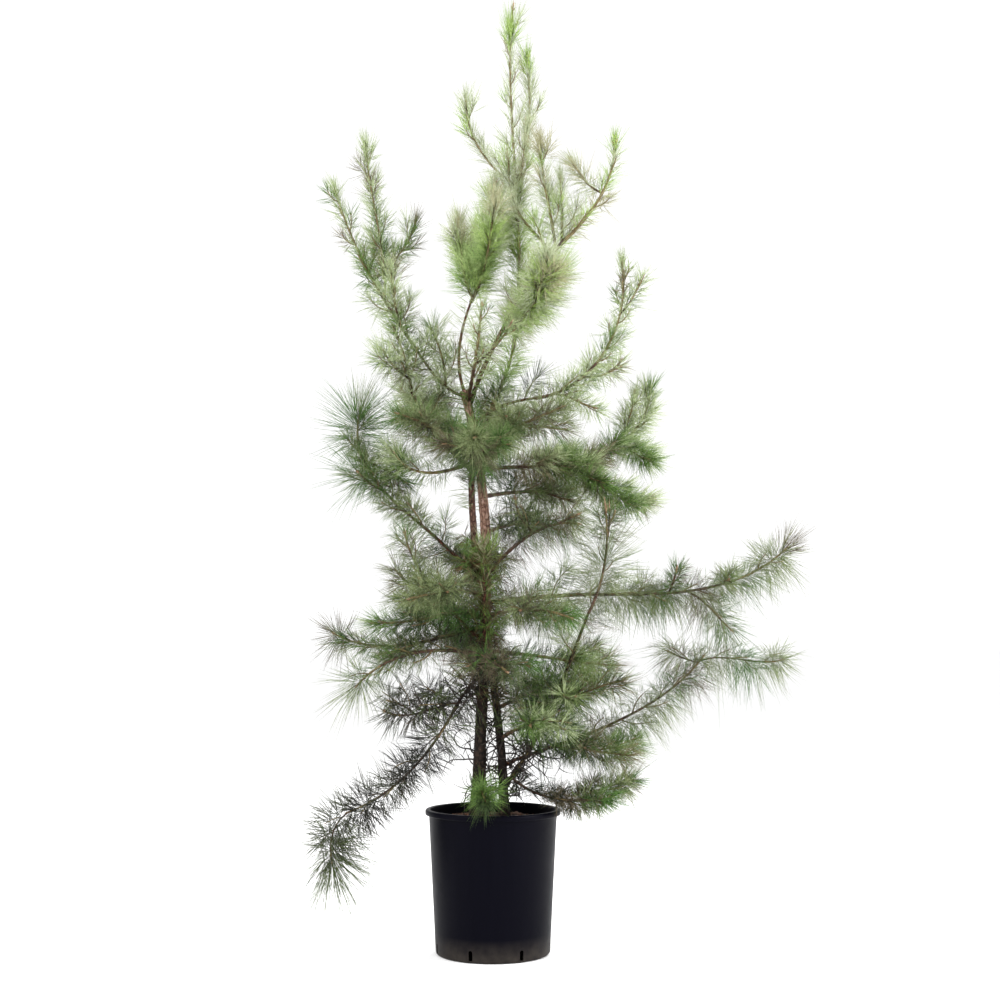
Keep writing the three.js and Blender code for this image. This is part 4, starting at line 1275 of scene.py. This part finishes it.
def make_bark(looks):
    """The bark of the two stems, a piece each, and of all the boughs in one."""
    paths, _ = plant()
    barks = [
        scaly_bark("pine_bark_scaly", "#46302a", "#7d5f50", "#a98e80",
                   ("#0e0a08", "#1d1511", "#372a22")),
        scaly_bark("bark_orange", "#2b180e", "#8a5836", "#b58a66"),
        scaly_bark("bark_olive", "#20180f", "#5d5233", "#8b8058"),
        scaly_bark("bark_dark", "#150f0c", "#3c2a21", "#66554a"),
        scaly_bark("bark_brown", "#321a13", "#6c4133", "#9a705c"),
    ]
    slots = {material.name: i for i, material in enumerate(barks)}
    boughs = Pile()
    for limb in LIMBS:
        sides = STEM_SIDES.get(limb.name, BOUGH_SIDES)
        spacing = (STEM_RINGS if limb.flare else BOUGH_RINGS) * MM
        vertices, triangles, values = bark_tube(limb, paths[limb.name], sides, spacing,
                                                looks.relief)
        if limb.flare:
            pile = Pile()
            pile.add(vertices, triangles, 0, values)
            piece = pile.piece(limb.name + "_bark", barks[:1], "relief")
            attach(piece, "root")
            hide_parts(limb.name)
        else:
            slot = slots[BOUGH_COLOURS.get(limb.name, "bark_brown")]
            boughs.add(vertices, triangles, slot, values)
    piece = boughs.piece("boughs_bark", barks, "relief")
    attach(piece, "root")
    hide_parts(*[limb.name for limb in LIMBS if not limb.flare])


def flake(name, length, width, bow):
    """A loose scale of bark: a thin bowed plate, thicker in the middle, in millimetres."""
    outline = arc((0, 0), 1, 0, 360, 7)[:-1]
    rim = np.array([(x * length / 2, y * width / 2, -bow * x * x) for x, y in outline])
    middles = [[0, 0, 0.9], [0, 0, -0.5]]  # of its top and its underside
    vertices = np.vstack([rim, middles]) * MM
    sides = len(rim)
    triangles = np.vstack([cap_triangles(sides, 0, sides, True),
                           cap_triangles(sides, 0, sides + 1, False)])
    pile = Pile()
    pile.add(vertices, triangles)
    return pile.piece(name, [])


FLAKE_SIZES = [(9, 5, 0.8), (6, 4, 0.4), (12, 4, 1.2)]  # length, width and bow
FLAKES_REACH = 900  # how high above the mix they go


def make_flakes(looks):
    """Loose scales on both stems."""
    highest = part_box("potting_mix")[1].z + FLAKES_REACH * MM
    for stem in STEM_SIDES:
        surface = bpy.data.objects[stem + "_bark"]
        shapes = [flake("scale", *size) for size in FLAKE_SIZES]
        material = scaly_bark("loose_bark_scales", "#1c130e", "#35261d", "#584638")
        piece = strew(stem + "_scales", surface, shapes, material, Density=looks.flakes,
                      Smallest=0.35, Largest=0.9, Tilt=0.35, Seed=SEED, Highest=highest)


# ---------------------------------------------------------------- twigs and buds

WOODY_SHARE = {"fresh": 0.15, "green": 0.4, "old": 0.75, "straw": 1.0}  # of a shoot's length
SHOOT_RINGS = 7  # spacing of the rings of points along a shoot
SHOOT_SIDES = 9
TWIG_RINGS = 12
TWIG_SIDES = 5


def make_twigs():
    """The skin of every twig, woody at its foot and green-brown toward its tip."""
    _, shoots = plant()
    pile = Pile()
    for shoot in shoots:
        fine = shoot.order == 2
        spacing = TWIG_RINGS if fine else SHOOT_RINGS
        t, points, tangents, sides = path_rings(shoot.path, spacing * MM)
        radii = mix(shoot.radii[0], shoot.radii[1], t)
        if not fine:
            radii = radii * (1 + 0.12 * np.sin(np.arange(len(t)) * 2.4))
        around = TWIG_SIDES if fine else SHOOT_SIDES
        vertices, triangles = tube(points, tangents, sides, radii, around)
        ring = np.repeat(np.arange(len(t) - 1), 2 * around)
        along = np.concatenate([ring / len(t), np.zeros(around), np.ones(around)])
        green = (along > WOODY_SHARE[shoot.mass.needles]) | fine
        pile.add(vertices, triangles, green.astype(int))
    piece = pile.piece("twigs", [twig_bark("twig_bark_woody", "#2a1b15", "#5a4232"),
                                 twig_bark("twig_bark_green", "#4f432b", "#80704c")])
    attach(piece, "root")
    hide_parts(*[mass.name for mass in MASSES])


CANDLES = {"upright_right_needles": 2.6, "mid_right_needles": 1.5}  # how far buds have grown
BUD_LENGTH = 15
BUD_RADIUS = 2.5
BUD_SIZES = (1.0, 0.85, 0.35)  # on a mass's stem, on its side shoots and on finer twigs


def bud_shape(sides=5):
    """A bud of length one along +Z: a spindle with stepped scales, by height and radius."""
    profile = [(0.0, 0.6), (0.25, 1.0), (0.32, 0.84), (0.6, 0.8), (0.66, 0.58), (0.96, 0.12)]
    heights = np.array([h for h, _ in profile])
    points = np.stack([np.zeros(len(heights)), np.zeros(len(heights)), heights], axis=-1)
    along = np.tile([0.0, 0.0, 1.0], (len(heights), 1))
    across = np.tile([1.0, 0.0, 0.0], (len(heights), 1))
    return tube(points, along, across, [r for _, r in profile], sides)


ODD_WAY = (0.31, 0.77, 0.55)  # a direction that no shoot takes


def turned_to(vertices, axis, length, radius, spot):
    """A shape made along +Z, scaled, turned to an axis and moved to a spot."""
    side = unit(np.cross(axis, ODD_WAY))
    other = np.cross(axis, side)
    return (spot + vertices[:, :1] * radius * side + vertices[:, 1:2] * radius * other
            + vertices[:, 2:] * length * axis)


def make_buds():
    """A group of buds at the tip of every larger shoot, and one on each finer twig."""
    _, shoots = plant()
    rng = np.random.default_rng(SEED + 2)
    shape, triangles = bud_shape()
    pile = Pile()
    for shoot in shoots:
        spot, axis = shoot.path.at([1.0])
        spot, axis = spot[0], axis[0]
        size = BUD_SIZES[shoot.order]
        candle = CANDLES.get(shoot.mass.name, 1.9 if shoot.mass.needles == "fresh" else 1.0)
        length = BUD_LENGTH * MM * size * (candle if shoot.order < 2 else 1) * rng.uniform(0.8, 1.2)
        radius = max(BUD_RADIUS * MM * size, shoot.radii[1] * 1.02)
        pile.add(turned_to(shape, axis, length, radius, spot - axis * MM), triangles)
        for i in range(0 if shoot.order == 2 else rng.integers(2, 5)):
            way = off_shoot(axis[None], [GOLDEN_ANGLE * i + 30], [rng.uniform(22, 45)])[0]
            share = rng.uniform(0.45, 0.75)
            pile.add(turned_to(shape, way, length * share, radius * share, spot - axis * MM),
                     triangles)
    piece = pile.piece("buds", [bud_scales()])
    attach(piece, "root")


CONE = {
    "limb": "upper_right_bough",
    "at": 0.36,
    "way": (0.1, -0.75, 0.65),
    "length": 30,
    "radius": 11,
    "scales": 48,
    "scale_radius": 2.4,
}


def make_cone():
    """One small old cone, its pointed scales set round it by the golden angle."""
    paths, _ = plant()
    spot = paths[CONE["limb"]].at([CONE["at"]])[0][0]
    axis = unit(np.array(CONE["way"]))
    length, radius = CONE["length"] * MM, CONE["radius"] * MM
    pile = Pile()
    core, core_triangles = bud_shape(8)
    pile.add(turned_to(core, axis, length, radius * 0.7, spot), core_triangles)
    scale, scale_triangles = bud_shape(4)
    for i in range(CONE["scales"]):
        t = (i + 0.5) / CONE["scales"]
        way = off_shoot(axis[None], [GOLDEN_ANGLE * i], [75 - 45 * t])[0]
        foot = spot + axis * length * 0.92 * t
        reach = radius * (0.35 + 0.75 * math.sin(math.pi * (0.15 + 0.8 * t)))
        pile.add(turned_to(scale, way, reach, CONE["scale_radius"] * MM, foot), scale_triangles)
    piece = pile.piece("old_cone", [twig_bark("cone_scales_woody", "#3a2216", "#7d5a42")])
    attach(piece, "root")


# Where the dead twigs stand: the limb, how many, and from and to along it.
DEAD_TWIGS = [
    ("trunk", 44, 0.06, 0.42),
    ("second_stem", 84, 0.05, 0.5),
    ("upright_right_bough", 34, 0.03, 0.45),
    ("low_right_bough", 18, 0.05, 0.6),
    ("low_left_bough", 16, 0.1, 1.0),
]
DEAD_STEP = 6  # between the turns of a dead twig
DEAD_FOOT = 2.1  # radius at the foot of a dead twig
DEAD_FORK_FOOT = 1.2
DEAD_TIP = 0.5


def curled(start, way, steps, rng):
    """A twig that wanders as it grows, step by step."""
    points = [start]
    curl = rng.normal(0, 1, 3) * 0.32
    for _ in range(steps):
        curl = curl * 0.86 + rng.normal(0, 1, 3) * 0.13
        way = unit(way + curl + [0, 0, -0.02])
        points.append(points[-1] + way * DEAD_STEP * MM)
    return Path(points)


def make_dead_twigs():
    """Dead curled twigs left on the lower stems and boughs, each with one to three forks."""
    paths, _ = plant()
    rng = np.random.default_rng(SEED + 3)
    pile = Pile()
    for limb, count, low, high in DEAD_TWIGS:
        for i in range(count):
            start, axis = paths[limb].at([rng.uniform(low, high)])
            way = off_shoot(axis, [GOLDEN_ANGLE * i], [rng.uniform(60, 100)])[0]
            twig = curled(start[0], way, int(rng.uniform(9, 20)), rng)
            routes = [(twig, DEAD_FOOT)]
            for at in rng.uniform(0.3, 0.8, rng.integers(1, 4)):
                spot, way = twig.at([at])
                side = off_shoot(way, [rng.uniform(0, 360)], [rng.uniform(40, 70)])[0]
                fork = curled(spot[0], side, int(rng.uniform(4, 9)), rng)
                routes.append((fork, DEAD_FORK_FOOT))
            for path, foot in routes:
                t, spots, tangents, sides = path_rings(path, 7 * MM)
                pile.add(*tube(spots, tangents, sides, mix(foot, DEAD_TIP, t) * MM, 4))
    piece = pile.piece("dead_twigs", [twig_bark("dead_twig_weathered", "#14100e", "#332a25")])
    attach(piece, "root")


# ---------------------------------------------------------------- needles

# Each kind's tones: light, middle, deep and the two odd ones. The light, middle and deep tones are
# lit and shaded copies of one colour, dealt out as painted light and shade.
Tone = namedtuple("Tone", "name dark light")
TONES = {
    "fresh": [Tone("needle_fresh_light", "#919c72", "#c7cfaf"),
              Tone("needle_fresh_mid", "#7b9252", "#b6c98a"),
              Tone("needle_fresh_deep", "#5d7b3c", "#a2ba74"),
              Tone("needle_fresh_vivid", "#6f8c3a", "#aec676"),
              Tone("needle_fresh_dull", "#82805c", "#bbb996")],
    "green": [Tone("needle_green_light", "#758651", "#b9c59a"),
              Tone("needle_green_mid", "#435629", "#869a5c"),
              Tone("needle_green_deep", "#1a2710", "#4a5f33"),
              Tone("needle_green_vivid", "#32521b", "#728f48"),
              Tone("needle_green_dull", "#4a452e", "#888163")],
    "old": [Tone("needle_old_light", "#475428", "#8f9b6e"),
            Tone("needle_old_mid", "#28341a", "#616e48"),
            Tone("needle_old_deep", "#14190f", "#3c4631"),
            Tone("needle_old_vivid", "#264714", "#5f823f"),
            Tone("needle_old_dull", "#3a3425", "#736a54")],
    # Painted shade: dark, near-neutral grey-greens for needles deep in shade low on the left.
    "browned": [Tone("needle_browned_green", "#232919", "#565d42"),
                Tone("needle_browned_mid", "#191916", "#4a4a43"),
                Tone("needle_browned_deep", "#0f0f0e", "#31312f"),
                Tone("needle_browned_vivid", "#2f3c1a", "#66734a"),
                Tone("needle_browned_dull", "#26211c", "#5c554c")],
    "straw": [Tone("needle_straw_light", "#77683d", "#a79868"),
              Tone("needle_straw_green", "#424b20", "#778048"),
              Tone("needle_straw_dark", "#3c2c1a", "#685236"),
              Tone("needle_straw_vivid", "#42601e", "#7f9c4e"),
              Tone("needle_straw_dull", "#4f3a22", "#80684a")],
}
DEEP = 2  # places in a kind's list
VIVID = 3
DULL = 4
VIVID_SHARE = 0.2
DULL_SHARE = 0.12
TONE_SCATTER = 0.8
# Heights, in metres, where a kind is at its deepest and at its lightest: painted light and shade,
# lighter high up where the key light falls and deeper low down.
TONE_REACH = {"fresh": (0.85, 1.55), "green": (0.5, 1.38), "old": (0.15, 1.1),
              "browned": (0.2, 0.9), "straw": (0.4, 1.4)}
INNER_REACH = 0.16  # metres from the middle line: deeper tones inside it as painted shade in the crown's core, lighter ones outside as painted light
MOST_TRIANGLES = 190000  # in one piece
SPRAY_LENGTH = 55  # of shoot that one spray, and so one tone, covers
SHARE_ON_TWIGS = 0.88  # length of a finer twig's needles, to its shoot's
NEEDLE_SIDES = 3
NEEDLE_BEND = 0.14  # how much the bundles of a shoot bend apart
SPLAY = 0.09  # how much the needles of one bundle stand apart
BOX_SPARE = 20  # how far a single needle may pass the plant's own box
GROUND_GAP = 8
WALL_GAP = 2
STATIONS = (0.3, 0.45, 0.6, 0.7, 0.8, 0.9, 1.0)  # places along a needle that are tested
SPREAD_JITTER = 18
TURN_JITTER = 50

# A stretch of a shoot or limb, from first to last along its route, that carries needles.
Stretch = namedtuple("Stretch", "path first last kind style")


def dress_of(shoot):
    """The parts of a shoot: from, to and needle style.

    A finer twig has one part, in the style of its shoot where it springs from it.
    """
    mass = shoot.mass
    parts = DRESS.get((mass.name, shoot.number)) or DRESS.get(mass.name)
    parts = parts or [(mass.clear * 0.6, mass.needles, 1.0, 1.0)]
    if shoot.order == 2:
        own = [part for part in parts if part[0] <= shoot.at and part[1] not in TIP_STYLES]
        parts = [(TWIG_CLEAR, *(own or [(0, mass.needles, 1.0, 1.0)])[-1][1:])]
    ends = [part[0] for part in parts[1:]] + [1]
    for (first, name, length, closeness), last in zip(parts, ends):
        if closeness == 0:
            continue
        style = STYLES[name]
        if shoot.order == 2:
            length = length * SHARE_ON_TWIGS
        style = style._replace(length=style.length * length, pitch=style.pitch / closeness)
        yield max(first, 0.03), last, style


def needle_stretches():
    """Every stretch with needles, on the shoots and on the limbs."""
    paths, shoots = plant()
    stretches = []
    for shoot in shoots:
        for first, last, style in dress_of(shoot):
            kind = OTHER_KINDS.get(shoot.mass.name, shoot.mass.needles)
            stretches.append(Stretch(shoot.path, first, last, kind, style))
    for name, first, last, kind, style, closeness in LEAFY_LIMBS:
        style = STYLES[style]
        style = style._replace(pitch=style.pitch / closeness, spread=(style.spread[0], 60))
        stretches.append(Stretch(paths[name], first, last, kind, style))
    return stretches


def needle_routes(stretch, rng, fullness):
    """Where the needles of a stretch spring, their ways, bends, lengths and spray numbers.

    The bundles turn round the shoot by the golden angle, and the needles of a bundle stay
    close together.
    """
    path, style = stretch.path, stretch.style
    reach = path.length * (stretch.last - stretch.first)
    bundles = max(4, round(reach / (style.pitch * MM) * fullness))
    i = np.arange(bundles)
    s = ((i + 0.5) / bundles) ** style.gather
    t = mix(stretch.first, stretch.last, s)
    roots, axes = path.at(np.minimum(t, 0.985))
    spread = mix(*style.spread, s ** 2) + rng.uniform(-SPREAD_JITTER, SPREAD_JITTER, bundles)
    turn = GOLDEN_ANGLE * i + rng.uniform(0, TURN_JITTER, bundles)
    ways = off_shoot(axes, turn, spread)
    lengths = style.length * MM * rng.uniform(0.7, 1.15, bundles)
    bends = 0.06 * axes + rng.normal(0, NEEDLE_BEND, ways.shape)
    bends[:, 2] -= style.droop * rng.uniform(0.3, 1.5, bundles)
    roots, ways, bends = (np.repeat(v, BUNDLE, axis=0) for v in (roots, ways, bends))
    lengths = np.repeat(lengths, BUNDLE) * rng.uniform(0.85, 1.06, len(roots))
    ways = unit(ways + rng.normal(0, SPLAY, ways.shape))
    bends = bends + rng.normal(0, 0.05, ways.shape)
    sprays = np.repeat((s * reach / (SPRAY_LENGTH * MM)).astype(int), BUNDLE)
    return roots, ways, bends, lengths, sprays


def within_bounds(roots, ways, bends, lengths):
    """True for the needles that keep to the plant's own room and clear of the pot."""
    low, high = (np.array(corner) for corner in plant_box)
    spare = BOX_SPARE * MM
    clear = np.ones(len(roots), bool)
    for s in STATIONS:
        spots = roots + lengths[:, None] * (s * ways + s * s * bends)
        clear &= np.all(spots > low - spare, axis=1)
        clear &= np.all(spots < high + spare, axis=1)
        clear &= spots[:, 2] > GROUND_GAP * MM
        clear &= ~in_pot(spots, WALL_GAP * MM)
    return clear


def needle_mesh(roots, ways, bends, lengths, rings, thickness, rng):
    """Slim three-sided needles, each one closed and pointed at both ends."""
    s = np.array(rings)[None, :, None]
    centres = roots[:, None] + lengths[:, None, None] * (s * ways[:, None] + s * s * bends[:, None])
    tips = roots + lengths[:, None] * (ways + bends)
    side = unit(np.cross(ways, rng.normal(0, 1, ways.shape)))
    other = np.cross(ways, side)
    corners = []
    for angle in np.linspace(0, 2 * np.pi, NEEDLE_SIDES, endpoint=False):
        around = side * math.cos(angle) + other * math.sin(angle)
        corners.append(centres + around[:, None] * thickness / 2)
    bodies = np.stack(corners, axis=2)
    count = len(roots)
    vertices = np.concatenate([bodies.reshape(count, -1, 3), roots[:, None], tips[:, None]], axis=1)
    triangles = closed_triangles(len(rings), NEEDLE_SIDES)[None]
    triangles = triangles + np.arange(count)[:, None, None] * vertices.shape[1]
    return vertices.reshape(-1, 3), triangles.reshape(-1, 3)


def deal_tones(stretch, sprays, roots, rng):
    """A tone for each spray: lighter high up and far out, and varied by chance. Height and reach
    paint light and shade: lighter where the key light falls, deeper inside the crown.
    """
    low, high = TONE_REACH[stretch.kind]
    last = sprays.max()
    tones = np.zeros(len(sprays), int)
    for number in np.unique(sprays):
        own = sprays == number
        x, y, z = roots[own].mean(axis=0)
        place = 1 - (z - low) / (high - low)
        depth = np.clip((INNER_REACH - math.hypot(x, y)) / INNER_REACH, -1, 1)
        inner = 0.5 * (1 - number / last) if last else 0
        tone = round(3 * place - 1.1 + 1.7 * depth + inner + rng.normal(0, TONE_SCATTER))
        tones[own] = min(max(tone, 0), DEEP)
        chance = rng.random()
        if chance < VIVID_SHARE:
            tones[own] = VIVID
        elif chance > 1 - DULL_SHARE:
            tones[own] = DULL
    return tones


def join_needles(kind, made):
    """Joins the needles of one kind into as few pieces as their triangles allow."""
    materials = [needle_skin(*tone) for tone in TONES[kind]]
    total = sum(len(triangles) for _, triangles, _ in made)
    share = total / math.ceil(total / MOST_TRIANGLES)
    pile = Pile()
    count = 0
    number = 1
    for k, (vertices, triangles, tones) in enumerate(made):
        pile.add(vertices, triangles, tones)
        count += len(triangles)
        if count >= share * number or k == len(made) - 1:
            piece = pile.piece(f"needles_{kind}_{number}", materials)
            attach(piece, "root")
            pile = Pile()
            number += 1


def make_needles(looks):
    """The needles of every stretch, kind by kind."""
    rng = np.random.default_rng(SEED + 4)
    meshes = {kind: [] for kind in TONES}
    for stretch in needle_stretches():
        *routes, sprays = needle_routes(stretch, rng, looks.fullness)
        clear = within_bounds(*routes)
        if not clear.any():
            continue
        routes = [values[clear] for values in routes]
        tones = deal_tones(stretch, sprays[clear], routes[0], rng)
        width = looks.thickness * stretch.style.width
        vertices, triangles = needle_mesh(*routes, stretch.style.rings, width, rng)
        each = len(triangles) // len(tones)
        meshes[stretch.kind].append((vertices, triangles, np.repeat(tones, each)))
    for kind, made in meshes.items():
        join_needles(kind, made)


# ---------------------------------------------------------------- stage


# Each lamp's place, the point that it aims at, its width and its share of the main power.
LAMPS = {
    "key_light": ((-2.2, -2.6, 3.4), (0, 0, 1.2), 1.8, 1.0),
    "side_light": ((3.0, -1.2, 1.6), (0, 0, 0.6), 1.2, 0.7),
    "back_light": ((1.2, 3.0, 3.0), (0, 0, 1.2), 1.6, 0.6),
}
CAMERA_PLACE = (0.0155, -3.5, 0.697)
CAMERA_LENS = 56.77
CAMERA_TILT = 4.76  # degrees that it looks up


def make_floor(looks):
    """A wide pale floor."""
    mesh = bpy.data.meshes.new("studio_floor")
    floor = bmesh.new()
    bmesh.ops.create_circle(floor, cap_ends=True, segments=96, radius=60)
    floor.to_mesh(mesh)
    floor.free()
    material, _, shader = new_material("studio_floor_matt", 0.9, Specular_IOR_Level=0.1)
    shader.inputs["Base Color"].default_value = (*looks.floor_colour, 1)
    mesh.materials.append(material)
    add_object("studio_floor", mesh)


def light_scene(looks):
    """A white surround and three soft lamps."""
    world = bpy.data.worlds.new("studio")
    world.use_nodes = True
    background = world.node_tree.nodes["Background"]
    background.inputs["Color"].default_value = (1, 1, 1, 1)
    background.inputs["Strength"].default_value = looks.surround
    bpy.context.scene.world = world
    bpy.context.scene.view_settings.view_transform = "Standard"
    for name, (spot, aim, size, share) in LAMPS.items():
        light = bpy.data.lights.new(name, "AREA")
        light.energy = looks.key_power * share
        light.size = size
        lamp = add_object(name, light)
        lamp.location = spot
        way = Vector(aim) - Vector(spot)
        lamp.rotation_euler = way.to_track_quat("-Z", "Y").to_euler()


def set_camera():
    """A camera in front of the plant, at the height of its lower third."""
    camera = bpy.data.cameras.new("camera")
    camera.lens = CAMERA_LENS
    camera.dof.use_dof = False
    eye = add_object("camera", camera)
    eye.location = CAMERA_PLACE
    eye.rotation_euler = (math.radians(90 + CAMERA_TILT), 0, 0)
    bpy.context.scene.camera = eye


def make_stage(looks):
    """A pale floor, soft studio light and the camera."""
    make_floor(looks)
    light_scene(looks)
    set_camera()


# ---------------------------------------------------------------- add-on


def shade(code):
    """A linear RGB colour from an sRGB hex value."""
    return colour(code)[:3]


class PINE_PG_pot(bpy.types.PropertyGroup):
    rim_radius: FloatProperty(name="Rim radius", description="Outer radius of the pot's lip",
                              default=pot_rim.x, unit="LENGTH")
    height: FloatProperty(name="Height", description="Height of the pot",
                          default=pot_rim.z, unit="LENGTH")
    colour: FloatVectorProperty(name="Plastic", description="Colour of the pot's plastic",
                                default=shade("#020207"), subtype="COLOR")
    chip_density: FloatProperty(name="Chips", default=9000.0,
                                description="Bark chips on a square metre of the mix")


class PINE_PG_bark(bpy.types.PropertyGroup):
    relief: FloatProperty(name="Relief", description="Depth of the cracks on a thick stem",
                          default=2.4 * MM, unit="LENGTH")
    flakes: FloatProperty(name="Loose scales", default=5000.0,
                          description="Loose scales on a square metre of the stems' bark")


class PINE_PG_needles(bpy.types.PropertyGroup):
    thickness: FloatProperty(name="Thickness", description="Width of one needle",
                             default=1.0 * MM, unit="LENGTH")
    fullness: FloatProperty(name="Fullness", description="How closely the bundles stand",
                            default=1.0, min=0.05, max=3.0)


class PINE_PG_stage(bpy.types.PropertyGroup):
    floor_colour: FloatVectorProperty(name="Floor", description="Colour of the floor",
                                      default=(0.94, 0.94, 0.94), subtype="COLOR")
    surround: FloatProperty(name="Surround", description="Strength of the white surround",
                            default=1.08)
    key_power: FloatProperty(name="Key light", description="Power of the main light",
                             default=150.0, subtype="POWER")


class PINE_OT_pot(bpy.types.Operator):
    """Make the moulded pot with its lip and drainage slots"""
    bl_idname = "pine.pot"
    bl_label = "Pot"

    def execute(self, context):
        make_pot(context.scene.pine_pot)
        return {"FINISHED"}


class PINE_OT_mix(bpy.types.Operator):
    """Make the potting mix with its bark chips and crumbs"""
    bl_idname = "pine.mix"
    bl_label = "Potting mix"

    def execute(self, context):
        make_chips(make_mix(), context.scene.pine_pot)
        return {"FINISHED"}


class PINE_OT_bark(bpy.types.Operator):
    """Make the bark of the stems and boughs"""
    bl_idname = "pine.bark"
    bl_label = "Bark"

    def execute(self, context):
        make_bark(context.scene.pine_bark)
        return {"FINISHED"}


class PINE_OT_scales(bpy.types.Operator):
    """Strew loose bark scales over the stems"""
    bl_idname = "pine.scales"
    bl_label = "Loose scales"

    def execute(self, context):
        make_flakes(context.scene.pine_bark)
        return {"FINISHED"}


class PINE_OT_twigs(bpy.types.Operator):
    """Make the twigs, the buds at their tips, the cone and the dead twigs"""
    bl_idname = "pine.twigs"
    bl_label = "Twigs and buds"

    def execute(self, context):
        make_twigs()
        make_buds()
        make_cone()
        make_dead_twigs()
        return {"FINISHED"}


class PINE_OT_needles(bpy.types.Operator):
    """Make the needles of every shoot"""
    bl_idname = "pine.needles"
    bl_label = "Needles"

    def execute(self, context):
        make_needles(context.scene.pine_needles)
        return {"FINISHED"}


class PINE_OT_stage(bpy.types.Operator):
    """Make the floor, the lights and the camera"""
    bl_idname = "pine.stage"
    bl_label = "Stage"

    def execute(self, context):
        make_stage(context.scene.pine_stage)
        return {"FINISHED"}


class PINE_PT_panel(bpy.types.Panel):
    """The pine's sizes and colours, and a button for each piece"""
    bl_label = "Potted pine"
    bl_idname = "PINE_PT_panel"
    bl_space_type = "VIEW_3D"
    bl_region_type = "UI"
    bl_category = "Pine"

    def draw(self, context):
        for group, operators in PANEL_ROWS:
            box = self.layout.box()
            settings = getattr(context.scene, group)
            for name in settings.__annotations__:
                box.prop(settings, name)
            for operator in operators:
                box.operator(operator.bl_idname)


GROUPS = {"pine_pot": PINE_PG_pot, "pine_bark": PINE_PG_bark, "pine_needles": PINE_PG_needles,
          "pine_stage": PINE_PG_stage}
OPERATORS = (PINE_OT_stage, PINE_OT_pot, PINE_OT_mix, PINE_OT_bark, PINE_OT_scales,
             PINE_OT_twigs, PINE_OT_needles)
PANEL_ROWS = (("pine_pot", (PINE_OT_pot, PINE_OT_mix)),
              ("pine_bark", (PINE_OT_bark, PINE_OT_scales)),
              ("pine_needles", (PINE_OT_twigs, PINE_OT_needles)),
              ("pine_stage", (PINE_OT_stage,)))


def register():
    """Adds the settings, the operators and the panel."""
    for name, group in GROUPS.items():
        bpy.utils.register_class(group)
        setattr(bpy.types.Scene, name, PointerProperty(type=group))
    for operator in OPERATORS:
        bpy.utils.register_class(operator)
    bpy.utils.register_class(PINE_PT_panel)


def unregister():
    """Takes them away again."""
    bpy.utils.unregister_class(PINE_PT_panel)
    for operator in reversed(OPERATORS):
        bpy.utils.unregister_class(operator)
    for name, group in reversed(GROUPS.items()):
        delattr(bpy.types.Scene, name)
        bpy.utils.unregister_class(group)


def main():
    """Makes the whole pine."""
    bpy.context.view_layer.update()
    register()
    bpy.ops.pine.stage()
    bpy.ops.pine.pot()
    bpy.ops.pine.mix()
    bpy.ops.pine.bark()
    bpy.ops.pine.scales()
    bpy.ops.pine.twigs()
    bpy.ops.pine.needles()


if __name__ == "__main__":
    main()
